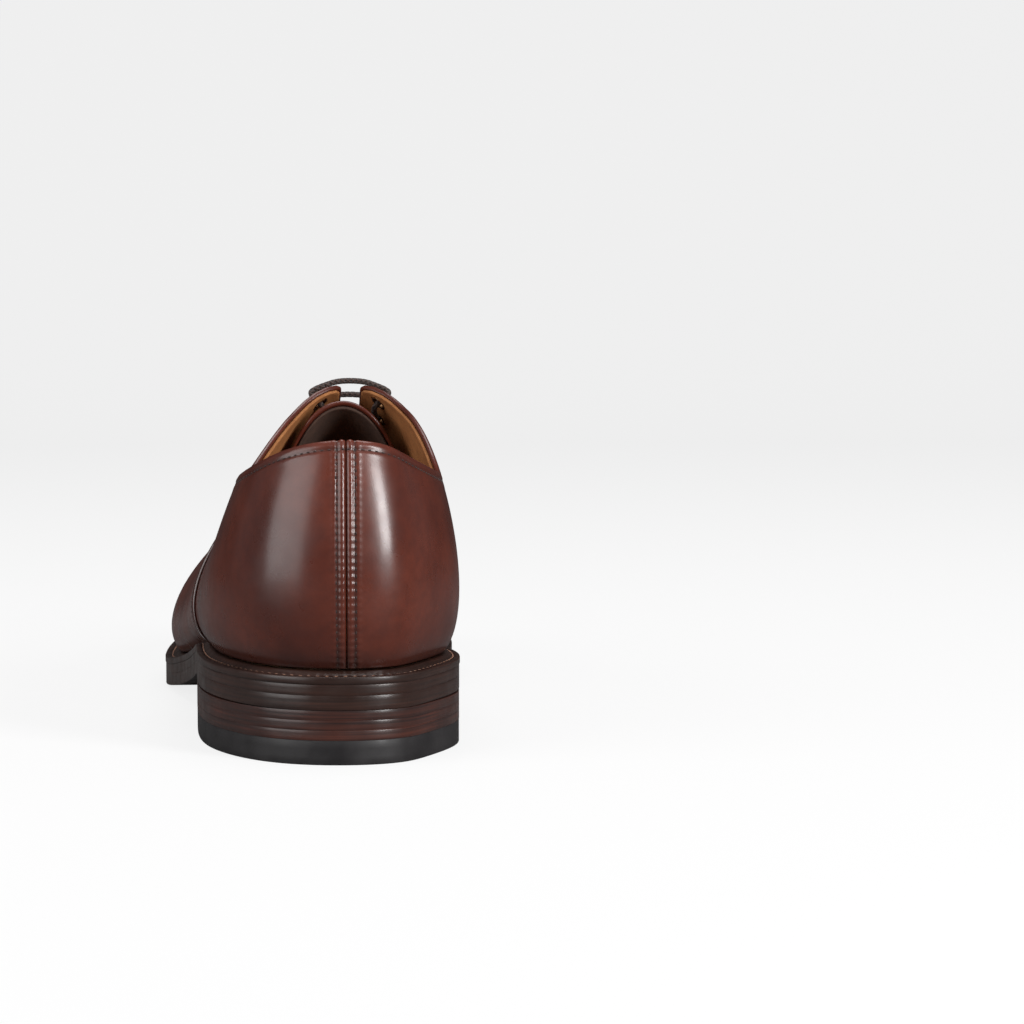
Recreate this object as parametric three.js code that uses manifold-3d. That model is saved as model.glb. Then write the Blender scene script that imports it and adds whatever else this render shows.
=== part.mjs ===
// Welted cap-toe oxford shoe for the left foot, in black-brown calf on a stacked leather heel.
// Millimetres, +Z up. The toe points along +Y, the outer (lateral) side of the foot is -X and the
// inner (medial) side +X. The origin lies on the ground, under the middle of the shoe.
import * as THREE from "three";
import { mergeVertices } from "three/addons/utils/BufferGeometryUtils.js";
import Module from "manifold-3d";

const wasm = await Module();
wasm.setup();

// ---------- driving dimensions ----------
const SOLE_LENGTH = 302;
const BALL_WIDTH = 100;
const INSTEP_HEIGHT = 103;
const HEEL_HEIGHT = 15;
const TOE_SPRING = 10.6;

const GAP = 0.3;
const OUTSOLE = 4;
const MIDSOLE = 3;
const WELT = 2.2;
const WELT_INNER_RISE = 1.8;
const TOP_LIFT = 6.8;
const LIFT_COUNT = 3;
const LEATHER = 1.4;
const LINING = 1;
const STIFFENER = 1.3;
const WELT_UNDER_UPPER = LEATHER + LINING + STIFFENER + 1;

const HEEL_BREAST = 84;
const FACING_GAP = 8;
const EYELET_COUNT = 5;
const EYELET_FROM_EDGE = 8;
const EYELET_BORE = 2;
const EYELET_FLANGE = 3.2;
const LACE_RADIUS = 0.9;
const NAIL_RADIUS = 1.1;
const TONGUE_HALF_WIDTH = 17;
const TONGUE_LEATHER = 1.5;

// ---------- materials ----------
function leatherLook(color, roughness) {
  return new THREE.MeshStandardMaterial({ color, roughness, metalness: 0 });
}
const CALF = leatherLook(0x4a231b, 0.32);
const LINING_LEATHER = leatherLook(0x9c5f30, 0.8);
const TONGUE_BACK = leatherLook(0x3a221a, 0.85);
const STIFF_BOARD = leatherLook(0xb59a78, 0.9);
const SOLE_LEATHER = leatherLook(0x4a3026, 0.5);
const RUBBER = leatherLook(0x2b2d33, 0.7);
const CORK_LOOK = leatherLook(0xb98a55, 0.95);
const LACE_COTTON = leatherLook(0x24130f, 0.75);
const STEEL = new THREE.MeshStandardMaterial({ color: 0x8f9296, roughness: 0.35, metalness: 1 });
const BRASS = new THREE.MeshStandardMaterial({ color: 0x6d4a2a, roughness: 0.35, metalness: 1 });

// ---------- small maths ----------
const rad = THREE.MathUtils.degToRad;
const lerp = THREE.MathUtils.lerp;
const smooth = (x, low, high) => THREE.MathUtils.smoothstep(x, low, high);

// Cubic spline through [x, y] points with given end slopes, held constant outside them.
function spline(points, startSlope = 0, endSlope = 0) {
  const n = points.length;
  const x = points.map((p) => p[0]);
  const y = points.map((p) => p[1]);
  const step = x.slice(1).map((value, i) => value - x[i]);
  const rise = y.slice(1).map((value, i) => (value - y[i]) / step[i]);
  const diagonal = [1];
  const right = [startSlope];
  for (let i = 1; i < n - 1; i++) {
    const lower = step[i];
    const middle = 2 * (step[i - 1] + step[i]);
    const value = 3 * (step[i] * rise[i - 1] + step[i - 1] * rise[i]);
    const above = i === 1 ? 0 : step[i - 2];
    const factor = lower / diagonal[i - 1];
    diagonal.push(middle - factor * above);
    right.push(value - factor * right[i - 1]);
  }
  const slope = new Array(n);
  slope[0] = startSlope;
  slope[n - 1] = endSlope;
  for (let i = n - 2; i > 0; i--) slope[i] = (right[i] - step[i - 1] * slope[i + 1]) / diagonal[i];
  return (at) => {
    const value = THREE.MathUtils.clamp(at, x[0], x[n - 1]);
    let i = 0;
    while (i < n - 2 && value > x[i + 1]) i++;
    const t = (value - x[i]) / step[i];
    const a = step[i] * slope[i];
    const b = step[i] * slope[i + 1];
    const d = y[i + 1] - y[i];
    return y[i] + t * (a + t * (3 * d - 2 * a - b + t * (a + b - 2 * d)));
  };
}

// A spline over the angle round the shoe, from points given in degrees.
const angleTable = (points) => spline(points.map(([degrees, value]) => [rad(degrees), value]));

// ---------- plan of the sole ----------
// Half-widths in per cent of the ball width, at shares of the sole's length.
const LATERAL_PLAN = [
  [0.05, 25.5], [0.13, 36.5], [0.25, 40.5], [0.38, 42], [0.5, 47], [0.6, 52.5],
  [0.66, 53.5], [0.74, 52], [0.83, 45.5], [0.91, 34], [0.965, 21],
];
const MEDIAL_PLAN = [
  [0.05, 25], [0.13, 35], [0.25, 33], [0.38, 28], [0.48, 28], [0.58, 34.5],
  [0.67, 42.5], [0.74, 45], [0.82, 43.5], [0.9, 36], [0.96, 24.5],
];
const HEEL_RADIUS = 33;
const TOE_RADIUS = 25;
const HEEL_AXIS_X = 2;
const TOE_AXIS_X = 3;

// The angle runs 0 at the back of the heel to pi at the tip of the toe; lateral angles are negative.
const shareAt = (angle) => (1 - Math.cos(angle)) / 2;
const angleAt = (share) => Math.acos(1 - 2 * share);
const axisX = (angle) => lerp(HEEL_AXIS_X, TOE_AXIS_X, shareAt(angle));

function planWidth(table, side) {
  const points = table.map(([share, width]) => {
    const angle = angleAt(share);
    const halfWidth = (width * BALL_WIDTH) / 100 - side * axisX(angle);
    return [angle, halfWidth / Math.sin(angle)];
  });
  const heel = [0, Math.sqrt((HEEL_RADIUS * SOLE_LENGTH) / 2)];
  const toe = [Math.PI, Math.sqrt((TOE_RADIUS * SOLE_LENGTH) / 2)];
  return spline([heel, ...points, toe]);
}
const lateralWidth = planWidth(LATERAL_PLAN, -1);
const medialWidth = planWidth(MEDIAL_PLAN, 1);

function wrap(angle) {
  return angle - 2 * Math.PI * Math.round(angle / (2 * Math.PI));
}

function planPoint(angle) {
  const a = wrap(angle);
  const along = Math.abs(a);
  const width = a < 0 ? lateralWidth(along) : medialWidth(along);
  return new THREE.Vector2(axisX(along) + Math.sin(a) * width, SOLE_LENGTH * shareAt(along));
}

// A point of the sole's outline moved straight inward by inset.
function outline(angle, inset) {
  const e = 1e-4;
  const along = planPoint(angle + e).sub(planPoint(angle - e)).normalize();
  return planPoint(angle).add(new THREE.Vector2(-along.y, along.x).multiplyScalar(inset));
}

// Height of the outsole's underside: level over the heel, down the arch, up at the toe.
const undersideCurve = spline([
  [-0.05, HEEL_HEIGHT], [0.27, HEEL_HEIGHT], [0.35, 0.87 * HEEL_HEIGHT], [0.43, 0.57 * HEEL_HEIGHT],
  [0.513, 0.26 * HEEL_HEIGHT], [0.59, 0.06 * HEEL_HEIGHT], [0.656, 0], [0.722, 0.05 * TOE_SPRING],
  [0.81, 0.25 * TOE_SPRING], [0.9, 0.57 * TOE_SPRING], [1, TOE_SPRING],
], 0, 4.6 * TOE_SPRING);
const underside = (y) => undersideCurve(y / SOLE_LENGTH);
const SOLE_STACK = OUTSOLE + MIDSOLE;
const FEATHER_RISE = SOLE_STACK + WELT + WELT_INNER_RISE;

// ---------- surface of the upper ----------
// The feather line is where the upper meets the welt. From it a curve climbs over each side of the
// foot to the spine, the ridge line above the middle of the foot. Height runs 0 to 1 between them.
const lateralMargin = angleTable([[0, 4.2], [60, 4.6], [100, 5.2], [130, 6], [160, 6.2], [180, 6.4]]);
const medialMargin = angleTable([[0, 4.2], [60, 4.4], [100, 4.6], [130, 5.4], [160, 6.2], [180, 6.4]]);

function margin(angle) {
  const a = wrap(angle);
  return a < 0 ? lateralMargin(-a) : medialMargin(a);
}

function featherPoint(angle) {
  const p = outline(angle, margin(angle));
  return new THREE.Vector3(p.x, p.y, underside(p.y) + FEATHER_RISE);
}

const SPINE_START = 0.1325 * SOLE_LENGTH;
const SPINE_END = 0.8545 * SOLE_LENGTH;
// Spine heights as shares of the instep height, at shares of the sole's length.
const spineHeight = spline([
  [0.1325, 1.107], [0.248, 1.078], [0.371, 1], [0.464, 0.854], [0.556, 0.704],
  [0.656, 0.583], [0.755, 0.503], [0.87, 0.44],
], -0.2, -0.5);
const spineX = spline([
  [0.1325, 3], [0.265, 5.5], [0.371, 7], [0.497, 6], [0.662, 4.5], [0.8545, 4],
]);

function spineSlope(y) {
  const share = y / SOLE_LENGTH;
  const e = 2e-3;
  return (INSTEP_HEIGHT * (spineHeight(share + e) - spineHeight(share - e))) / (2 * e * SOLE_LENGTH);
}

function spinePoint(angle) {
  const y = lerp(SPINE_START, SPINE_END, shareAt(Math.abs(angle)));
  const share = y / SOLE_LENGTH;
  return new THREE.Vector3(spineX(share), y, INSTEP_HEIGHT * spineHeight(share));
}

// Shape of each side. Width and height are shares of the way between the spine and the feather line
// at three control points of the climbing curve: low on the side, in the middle and at the shoulder.
const STATIONS = [0, 30, 55, 72, 95, 120, 150, 180];
const sideTable = (values) => angleTable(STATIONS.map((degrees, i) => [degrees, values[i]]));
const LATERAL_SHAPE = {
  lowWidth: sideTable([1.225, 1.24, 1.32, 1.5, 1.28, 1.15, 1.09, 1.075]),
  lowHeight: sideTable([0.18, 0.165, 0.14, 0.15, 0.19, 0.3, 0.375, 0.41]),
  middleWidth: sideTable([1.15, 1.11, 0.8, 0.49, 0.76, 0.91, 0.985, 1.025]),
  middleHeight: sideTable([0.62, 0.61, 0.57, 0.55, 0.59, 0.695, 0.75, 0.775]),
  shoulderWidth: sideTable([0.75, 0.675, 0.47, 0.58, 0.45, 0.48, 0.64, 0.71]),
};
const MEDIAL_SHAPE = {
  lowWidth: sideTable([1.225, 1.285, 1.48, 2.06, 1.75, 1.24, 1.105, 1.075]),
  lowHeight: sideTable([0.18, 0.15, 0.115, 0.15, 0.2, 0.315, 0.39, 0.41]),
  middleWidth: sideTable([1.15, 1.165, 1.22, 1.5, 1.35, 1.01, 1, 1.025]),
  middleHeight: sideTable([0.62, 0.6, 0.56, 0.55, 0.6, 0.705, 0.76, 0.775]),
  shoulderWidth: sideTable([0.75, 0.71, 0.78, 1.26, 0.85, 0.54, 0.645, 0.71]),
};

// Point of the upper's surface. Past the spine the surface goes on down the other side.
function upper(angle, height) {
  if (height > 1) return upper(-angle, 2 - height);
  const a = wrap(angle);
  const along = Math.abs(a);
  const shape = a < 0 ? LATERAL_SHAPE : MEDIAL_SHAPE;
  const rest = 1 - height;
  const atFeather = rest ** 4;
  const atLow = 4 * rest ** 3 * height;
  const atMiddle = 6 * rest ** 2 * height ** 2;
  const atShoulder = 4 * rest * height ** 3;
  const outward = atFeather + atLow * shape.lowWidth(along) + atMiddle * shape.middleWidth(along)
    + atShoulder * shape.shoulderWidth(along);
  const upward = atLow * shape.lowHeight(along) + atMiddle * shape.middleHeight(along)
    + atShoulder + height ** 4;
  const feather = featherPoint(a);
  const spine = spinePoint(along);
  const shoulderReach = shape.shoulderWidth(along) * (feather.y - spine.y);
  const toeTilt = smooth(along, rad(100), rad(135)) * spineSlope(spine.y) * shoulderReach * atShoulder;
  return new THREE.Vector3(
    lerp(spine.x, feather.x, outward),
    lerp(spine.y, feather.y, outward),
    lerp(feather.z, spine.z, upward) + toeTilt,
  );
}

// Outward direction of the surface, turned level at the feather line so that lower edges stay flat.
function outwardFrom(angle, height) {
  const e = 2e-3;
  let a = angle;
  if (height > 0.98 && Math.abs(Math.abs(a) - Math.PI) < 0.05) a = Math.sign(a) * (Math.PI - 0.05);
  const round = upper(a + e, height).sub(upper(a - e, height));
  const low = Math.max(height - e, 0);
  const climb = upper(a, height + e).sub(upper(a, low));
  const normal = round.cross(climb).normalize();
  normal.z *= smooth(height, 0, 0.16);
  return normal.normalize();
}

function offsetPoint(angle, height, offset) {
  return upper(angle, height).addScaledVector(outwardFrom(angle, height), offset);
}

// Height on the surface at a given distance from the spine.
function heightNearSpine(angle, distance) {
  const top = upper(angle, 1);
  let low = 0.3;
  let high = 1;
  for (let i = 0; i < 24; i++) {
    const middle = (low + high) / 2;
    if (upper(angle, middle).distanceTo(top) > distance) low = middle;
    else high = middle;
  }
  return (low + high) / 2;
}

// ---------- seam lines ----------
const toplineLateral = angleTable([
  [0, 0.59], [20, 0.565], [38, 0.52], [50, 0.51], [60, 0.56], [67, 0.72], [70, 0.83], [73, 1.02],
]);
const toplineMedial = angleTable([
  [0, 0.59], [20, 0.57], [38, 0.535], [50, 0.53], [60, 0.59], [67, 0.74], [70, 0.84], [73, 1.02],
]);
const CORNER_SHARPNESS = 45;
const VAMP_SEAM_BOTTOM = rad(58);
const VAMP_SEAM_TOP = rad(104);
const VAMP_SEAM_SWEEP = 1.25;
const THROAT_START = 0.86;
const THROAT_ROUNDING = rad(3.2);
const CAP_SEAM_SIDE_Y = 0.79 * SOLE_LENGTH;
const CAP_SEAM_TOP_Y = 0.762 * SOLE_LENGTH;
const UNDERLAP = rad(6);

const vampLine = (height) => lerp(VAMP_SEAM_BOTTOM, VAMP_SEAM_TOP, height ** VAMP_SEAM_SWEEP);

// The vamp's edge follows that line, and turns round at the throat instead of meeting in a point.
function vampSeam(height) {
  const above = Math.max(height - THROAT_START, 0) / (1 - THROAT_START);
  return vampLine(height) - THROAT_ROUNDING * above ** 2;
}

// The toe cap's edge runs straight across the shoe, and a little forward down the sides.
function capSeam(side, height) {
  const target = lerp(CAP_SEAM_SIDE_Y, CAP_SEAM_TOP_Y, smooth(height, 0, 0.75));
  let low = VAMP_SEAM_TOP;
  let high = rad(172);
  for (let i = 0; i < 24; i++) {
    const middle = (low + high) / 2;
    if (upper(side * middle, height).y < target) low = middle;
    else high = middle;
  }
  return (low + high) / 2;
}

// Top edge of a quarter: the topline, then the facing edge along the throat, with a rounded corner.
function quarterTop(side, along, lowered = 0) {
  const topline = (side < 0 ? toplineLateral : toplineMedial)(along) - lowered;
  const facing = heightNearSpine(side * along, FACING_GAP / 2 + lowered * 100);
  const k = CORNER_SHARPNESS;
  return -Math.log(Math.exp(-k * topline) + Math.exp(-k * facing)) / k;
}

// Lower edge of a piece that runs under the vamp: the feather line, then a line in front of the seam.
function underVamp(along, underlap) {
  const share = (along - underlap - VAMP_SEAM_BOTTOM) / (VAMP_SEAM_TOP - VAMP_SEAM_BOTTOM);
  return share <= 0 ? 0 : share ** (1 / VAMP_SEAM_SWEEP);
}

// ---------- closed bodies ----------
// A sheet between two faces. at(i, j, face) gives the points for face 0 and face 1. A closed sheet
// joins its last row to its first; folded names the sides where the sheet meets itself.
function sheet(rows, columns, at, { closed = false, folded = [] } = {}) {
  const positions = [];
  for (let face = 0; face < 2; face++) {
    for (let i = 0; i <= rows; i++) {
      for (let j = 0; j <= columns; j++) positions.push(...at(i, j, face).toArray());
    }
  }
  const half = (rows + 1) * (columns + 1);
  const index = (face, i, j) => face * half + i * (columns + 1) + j;
  const triangles = [];
  const quad = (a, b, c, d) => triangles.push(a, b, c, a, c, d);
  for (let i = 0; i < rows; i++) {
    for (let j = 0; j < columns; j++) {
      quad(index(0, i, j), index(0, i + 1, j), index(0, i + 1, j + 1), index(0, i, j + 1));
      quad(index(1, i, j), index(1, i, j + 1), index(1, i + 1, j + 1), index(1, i + 1, j));
    }
  }
  for (let i = 0; i < rows; i++) {
    if (!folded.includes("left")) quad(index(0, i, 0), index(1, i, 0), index(1, i + 1, 0), index(0, i + 1, 0));
    const j = columns;
    if (!folded.includes("right")) quad(index(0, i, j), index(0, i + 1, j), index(1, i + 1, j), index(1, i, j));
  }
  if (!closed) {
    for (let j = 0; j < columns; j++) {
      quad(index(0, 0, j), index(0, 0, j + 1), index(1, 0, j + 1), index(1, 0, j));
      const i = rows;
      quad(index(0, i, j), index(1, i, j), index(1, i, j + 1), index(0, i, j + 1));
    }
  }
  return bodyFrom(positions, triangles);
}

// Merges shared corners, drops triangles without area and turns every face outward.
function bodyFrom(positions, triangles) {
  const loose = new THREE.BufferGeometry();
  loose.setAttribute("position", new THREE.Float32BufferAttribute(positions, 3));
  loose.setIndex(triangles);
  const body = mergeVertices(loose, 1e-3);
  const old = Array.from(body.index.array);
  const kept = [];
  let volume = 0;
  const a = new THREE.Vector3();
  const b = new THREE.Vector3();
  const c = new THREE.Vector3();
  for (let t = 0; t < old.length; t += 3) {
    const [p, q, r] = old.slice(t, t + 3);
    if (p === q || q === r || r === p) continue;
    kept.push(p, q, r);
    a.fromBufferAttribute(body.attributes.position, p);
    b.fromBufferAttribute(body.attributes.position, q);
    c.fromBufferAttribute(body.attributes.position, r);
    volume += a.dot(b.cross(c));
  }
  if (volume < 0) {
    for (let t = 0; t < kept.length; t += 3) [kept[t], kept[t + 1]] = [kept[t + 1], kept[t]];
  }
  body.setIndex(kept);
  body.computeVertexNormals();
  return body;
}

function toSolid(geometry) {
  const bare = geometry.clone();
  bare.deleteAttribute("normal");
  bare.deleteAttribute("uv");
  const merged = mergeVertices(bare, 1e-4);
  const mesh = new wasm.Mesh({
    numProp: 3,
    vertProperties: new Float32Array(merged.attributes.position.array),
    triVerts: new Uint32Array(merged.index.array),
  });
  return new wasm.Manifold(mesh);
}

function fromSolid(solid) {
  const mesh = solid.getMesh();
  const geometry = new THREE.BufferGeometry();
  geometry.setAttribute("position", new THREE.Float32BufferAttribute(mesh.vertProperties, 3));
  geometry.setIndex(Array.from(mesh.triVerts));
  geometry.computeVertexNormals();
  return geometry;
}

function cut(geometry, tools) {
  let solid = toSolid(geometry);
  for (const tool of tools) solid = solid.subtract(toSolid(tool));
  return fromSolid(solid);
}

const shoe = new THREE.Group();
function add(name, geometry, material) {
  const mesh = new THREE.Mesh(geometry, material);
  mesh.name = name;
  shoe.add(mesh);
  return mesh;
}
const SIDES = [["lateral", -1], ["medial", 1]];

// ---------- eyelets: places used by the facings, the eyelets and the lace ----------
const FIRST_EYELET = rad(73);
// From the front eyelets' middle to the vamp's edge, as an angle along the shoe.
const EYELET_BEFORE_VAMP = (2.6 * EYELET_FLANGE) / (0.57 * SOLE_LENGTH);
function lastEyelet() {
  let along = VAMP_SEAM_TOP;
  for (let i = 0; i < 30; i++) {
    const heights = [-along, along].map((a) => heightNearSpine(a, FACING_GAP / 2 + EYELET_FROM_EDGE));
    along = lerp(along, vampSeam(Math.min(...heights)) - EYELET_BEFORE_VAMP, 0.5);
  }
  return along;
}
const LAST_EYELET = lastEyelet();
function eyeletFrame(side, number) {
  const along = lerp(FIRST_EYELET, LAST_EYELET, number / (EYELET_COUNT - 1));
  const angle = side * along;
  const height = heightNearSpine(angle, FACING_GAP / 2 + EYELET_FROM_EDGE);
  const middle = upper(angle, height);
  const direction = outwardFrom(angle, height);
  return { angle, height, middle, direction };
}

function placedOn(geometry, frame) {
  const turn = new THREE.Quaternion().setFromUnitVectors(new THREE.Vector3(0, 1, 0), frame.direction);
  return geometry.clone().applyQuaternion(turn).translate(...frame.middle.toArray());
}

const EYELET_HOLE = EYELET_BORE + 0.5 + GAP;
function eyeletHoles(side) {
  const drill = new THREE.CylinderGeometry(EYELET_HOLE, EYELET_HOLE, 12, 10);
  return Array.from({ length: EYELET_COUNT }, (_, i) => placedOn(drill, eyeletFrame(side, i)));
}

// ---------- upper ----------
const LINING_TOP = -(LEATHER + GAP);
const LINING_DEEP = -(LEATHER + STIFFENER + 2.5 * GAP);

const LINING_SEAM_GAP = rad(0.5);
const HEEL_LINING_END = rad(38);
const BACK_SEAM_HALF_GAP = 0.004;
const QUARTER_END = VAMP_SEAM_TOP + UNDERLAP - rad(1.5);
const evenly = (from, to, count) => Array.from({ length: count }, (_, i) => lerp(from, to, i / (count - 1)));
// The layers of the back part share these stations, so that they stay parallel.
const HEEL_STATIONS = evenly(BACK_SEAM_HALF_GAP, HEEL_LINING_END, 9);
const SIDE_STATIONS = evenly(HEEL_LINING_END + LINING_SEAM_GAP, QUARTER_END, 15);
const COUNTER_STATIONS = [...HEEL_STATIONS, ...SIDE_STATIONS.slice(0, 4)];
const QUARTER_ROWS = 8;
const bothSides = (stations) => [...stations.map((value) => -value).reverse(), ...stations];

// A layer of one side between the bottom edge and the quarter's top edge.
function sideLayer(side, stations, offsetAt, thickness) {
  return sheet(stations.length - 1, QUARTER_ROWS, (i, j, face) => {
    const along = stations[i];
    const low = underVamp(along, UNDERLAP);
    const top = quarterTop(side, along);
    const height = lerp(low, top, j / QUARTER_ROWS);
    return offsetPoint(side * along, height, offsetAt(along, height, top) - (face ? thickness : 0));
  });
}

// The outer leather of one side, from the back seam to under the vamp.
function quarter(side) {
  const stations = [...HEEL_STATIONS, ...SIDE_STATIONS];
  return cut(sideLayer(side, stations, () => 0, LEATHER), eyeletHoles(side));
}
for (const [name, side] of SIDES) add(`quarter_${name}`, quarter(side), CALF);

// Depth of a lining under the outer leather: deep where a stiffener lies between, shallow at the edge.
function liningDepth(height, top) {
  return lerp(LINING_DEEP, LINING_TOP, smooth(height, top - 0.16, top - 0.06));
}

function quarterLining(side) {
  const depth = (along, height, top) => {
    return lerp(liningDepth(height, top), LINING_TOP, smooth(along, rad(58), rad(70)));
  };
  return cut(sideLayer(side, SIDE_STATIONS, depth, LINING), eyeletHoles(side));
}
for (const [name, side] of SIDES) add(`quarter_lining_${name}`, quarterLining(side), LINING_LEATHER);

function heelLining() {
  const stations = bothSides(HEEL_STATIONS);
  return sheet(stations.length - 1, QUARTER_ROWS, (i, j, face) => {
    const angle = stations[i];
    const top = quarterTop(Math.sign(angle), Math.abs(angle));
    const height = (top * j) / QUARTER_ROWS;
    return offsetPoint(angle, height, liningDepth(height, top) - (face ? LINING : 0));
  });
}
add("heel_lining", heelLining(), LINING_LEATHER);

function heelCounter() {
  const rows = 5;
  const stations = bothSides(COUNTER_STATIONS);
  const wing = stations[stations.length - 1];
  return sheet(stations.length - 1, rows, (i, j, face) => {
    const top = 0.36 - 0.16 * (stations[i] / wing) ** 2;
    return offsetPoint(stations[i], (top * j) / rows, LINING_TOP - (face ? STIFFENER : 0));
  });
}
add("heel_counter", heelCounter(), STIFF_BOARD);

// Across the shoe from the lateral feather line over the spine to the medial one.
function acrossShoe(share) {
  const side = share < 0.5 ? -1 : 1;
  return { side, height: 1 - Math.abs(2 * share - 1) };
}

// The vamp laps over the quarters at its back edge and runs under the toe cap at its front edge.
function vampOffset(share) {
  const overQuarter = 2 * GAP + LEATHER;
  return lerp(overQuarter, 1.5 * GAP, smooth(share, 0.16, 0.34));
}
const CAP_LAP = rad(4);
function vamp() {
  const columns = 13;
  const rows = 22;
  return sheet(rows, columns, (i, j, face) => {
    const { side, height } = acrossShoe(i / rows);
    const share = j / columns;
    const along = lerp(vampSeam(height), capSeam(side, height) + CAP_LAP, share);
    return offsetPoint(side * along, height, vampOffset(share) - (face ? LEATHER : 0));
  });
}
add("vamp", vamp(), CALF);

function toeCap() {
  const columns = 8;
  const rows = 22;
  return sheet(rows, columns, (i, j, face) => {
    const { side, height } = acrossShoe(i / rows);
    const share = j / columns;
    const along = lerp(capSeam(side, height), Math.PI, share);
    const offset = lerp(3 * GAP + LEATHER, GAP, smooth(share, 0.25, 0.5));
    return offsetPoint(side * along, height, offset - (face ? LEATHER : 0));
  }, { folded: ["right"] });
}
add("toe_cap", toeCap(), CALF);

function toePuff() {
  const columns = 7;
  const rows = 18;
  return sheet(rows, columns, (i, j, face) => {
    const { side, height } = acrossShoe(i / rows);
    const along = lerp(capSeam(side, height) + CAP_LAP + rad(2), Math.PI, j / columns);
    return offsetPoint(side * along, height, LINING_TOP - (face ? STIFFENER : 0));
  }, { folded: ["right"] });
}
add("toe_puff", toePuff(), STIFF_BOARD);

function vampLining() {
  const columns = 16;
  const rows = 22;
  return sheet(rows, columns, (i, j, face) => {
    const { side, height } = acrossShoe(i / rows);
    const along = lerp(vampLine(height) + UNDERLAP + rad(1.5), Math.PI, j / columns);
    const deep = lerp(LINING_TOP, LINING_DEEP, smooth(along, rad(112), rad(128)));
    return offsetPoint(side * along, height, deep - (face ? LINING : 0));
  }, { folded: ["right"] });
}
add("vamp_lining", vampLining(), LINING_LEATHER);

// ---------- tongue ----------
const TONGUE_BASE = 0.608 * SOLE_LENGTH;
const TONGUE_TIP = 0.362 * SOLE_LENGTH;
const TONGUE_LEAN = -3;
const TONGUE_BASE_CLEARANCE = LEATHER + LINING + 3 * GAP;
const TONGUE_CLEARANCE = LEATHER + LINING + 0.0202 * SOLE_LENGTH;
const TONGUE_TIP_CLEARANCE = TONGUE_CLEARANCE - 0.7;
const TONGUE_ARCH = 5e4 / BALL_WIDTH ** 3;
const TONGUE_BASE_ARCH = 0.28 * TONGUE_ARCH;
function spineFrame(y) {
  const share = y / SOLE_LENGTH;
  const point = new THREE.Vector3(spineX(share), y, INSTEP_HEIGHT * spineHeight(share));
  return { point, up: new THREE.Vector3(0, -spineSlope(y), 1).normalize() };
}

function tonguePiece(depth, thickness, inset) {
  const columns = 12;
  const rows = 8;
  return sheet(columns, rows, (i, j, face) => {
    const across = (2 * j) / rows - 1;
    const tip = TONGUE_TIP + inset + 9 * across ** 4;
    const y = lerp(TONGUE_BASE - inset, tip, i / columns);
    const share = (TONGUE_BASE - y) / (TONGUE_BASE - TONGUE_TIP);
    const { point, up } = spineFrame(y);
    const halfWidth = lerp(0.8, 1, smooth(share, 0, 0.5)) * TONGUE_HALF_WIDTH - inset;
    const x = across * halfWidth;
    const rest = lerp(TONGUE_BASE_CLEARANCE, TONGUE_CLEARANCE, smooth(share, 0, 0.25));
    const clearance = lerp(rest, TONGUE_TIP_CLEARANCE, smooth(share, 0.88, 1));
    const arch = lerp(TONGUE_BASE_ARCH, TONGUE_ARCH, smooth(share, 0, 0.4));
    const steepness = Math.hypot(1, 2 * arch * x);
    const drop = clearance + arch * x * x + steepness * (depth + (face ? thickness : 0));
    return point.add(new THREE.Vector3(x + TONGUE_LEAN, 0, 0)).addScaledVector(up, -drop);
  });
}
add("tongue", tonguePiece(0, TONGUE_LEATHER, 0), CALF);
add("tongue_lining", tonguePiece(TONGUE_LEATHER + GAP, LINING, 0.8), TONGUE_BACK);

// ---------- eyelets and lace ----------
function eyeletGeometry() {
  const wall = 0.5;
  const top = 0.9;
  const bottom = -(LEATHER + GAP + LINING);
  const bore = EYELET_BORE;
  const profile = [
    [bore, bottom], [bore + wall, bottom], [bore + wall, GAP], [EYELET_FLANGE, GAP],
    [EYELET_FLANGE, top - 0.2], [EYELET_FLANGE - 0.4, top], [bore, top], [bore, bottom],
  ].map(([r, z]) => new THREE.Vector2(r, z));
  return new THREE.LatheGeometry(profile, 10);
}
for (const [name, side] of SIDES) {
  for (let i = 0; i < EYELET_COUNT; i++) {
    const placed = placedOn(eyeletGeometry(), eyeletFrame(side, i));
    add(`eyelet_${name}_${i + 1}`, solidOf(placed), BRASS);
  }
}

function solidOf(geometry) {
  const bare = geometry.clone();
  bare.deleteAttribute("normal");
  bare.deleteAttribute("uv");
  const corners = (bare.index ? bare.toNonIndexed() : bare).attributes.position.array;
  return bodyFrom(Array.from(corners), Array.from({ length: corners.length / 3 }, (_, i) => i));
}

// One lace, laced in straight bars: up through an eyelet, across, down, then along to the next pair.
const LACE_OVER = 1.3 + LACE_RADIUS;
const LACE_UNDER = -(LEATHER + GAP + LINING + 0.5 + LACE_RADIUS);
function laceRoute() {
  const route = [];
  const along = (frame, offset) => frame.middle.clone().addScaledVector(frame.direction, offset);
  const tail = (frame, next) => along(frame, LACE_UNDER).lerp(along(next, LACE_UNDER), 0.8);
  for (let i = EYELET_COUNT - 1; i >= 0; i--) {
    const from = (EYELET_COUNT - 1 - i) % 2 === 0 ? -1 : 1;
    const start = eyeletFrame(from, i);
    const end = eyeletFrame(-from, i);
    if (i === EYELET_COUNT - 1) route.push(tail(start, eyeletFrame(from, i - 1)));
    route.push(along(start, LACE_UNDER), along(start, -1), along(start, LACE_OVER));
    for (const share of [0.5, 0.8]) {
      route.push(offsetPoint(start.angle, lerp(start.height, 1, share), LACE_OVER));
    }
    for (const share of [0.8, 0.5]) {
      route.push(offsetPoint(end.angle, lerp(end.height, 1, share), LACE_OVER));
    }
    route.push(along(end, LACE_OVER), along(end, -1), along(end, LACE_UNDER));
    if (i === 0) route.push(tail(end, eyeletFrame(-from, 1)));
  }
  return new THREE.CatmullRomCurve3(route, false, "centripetal");
}

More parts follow.
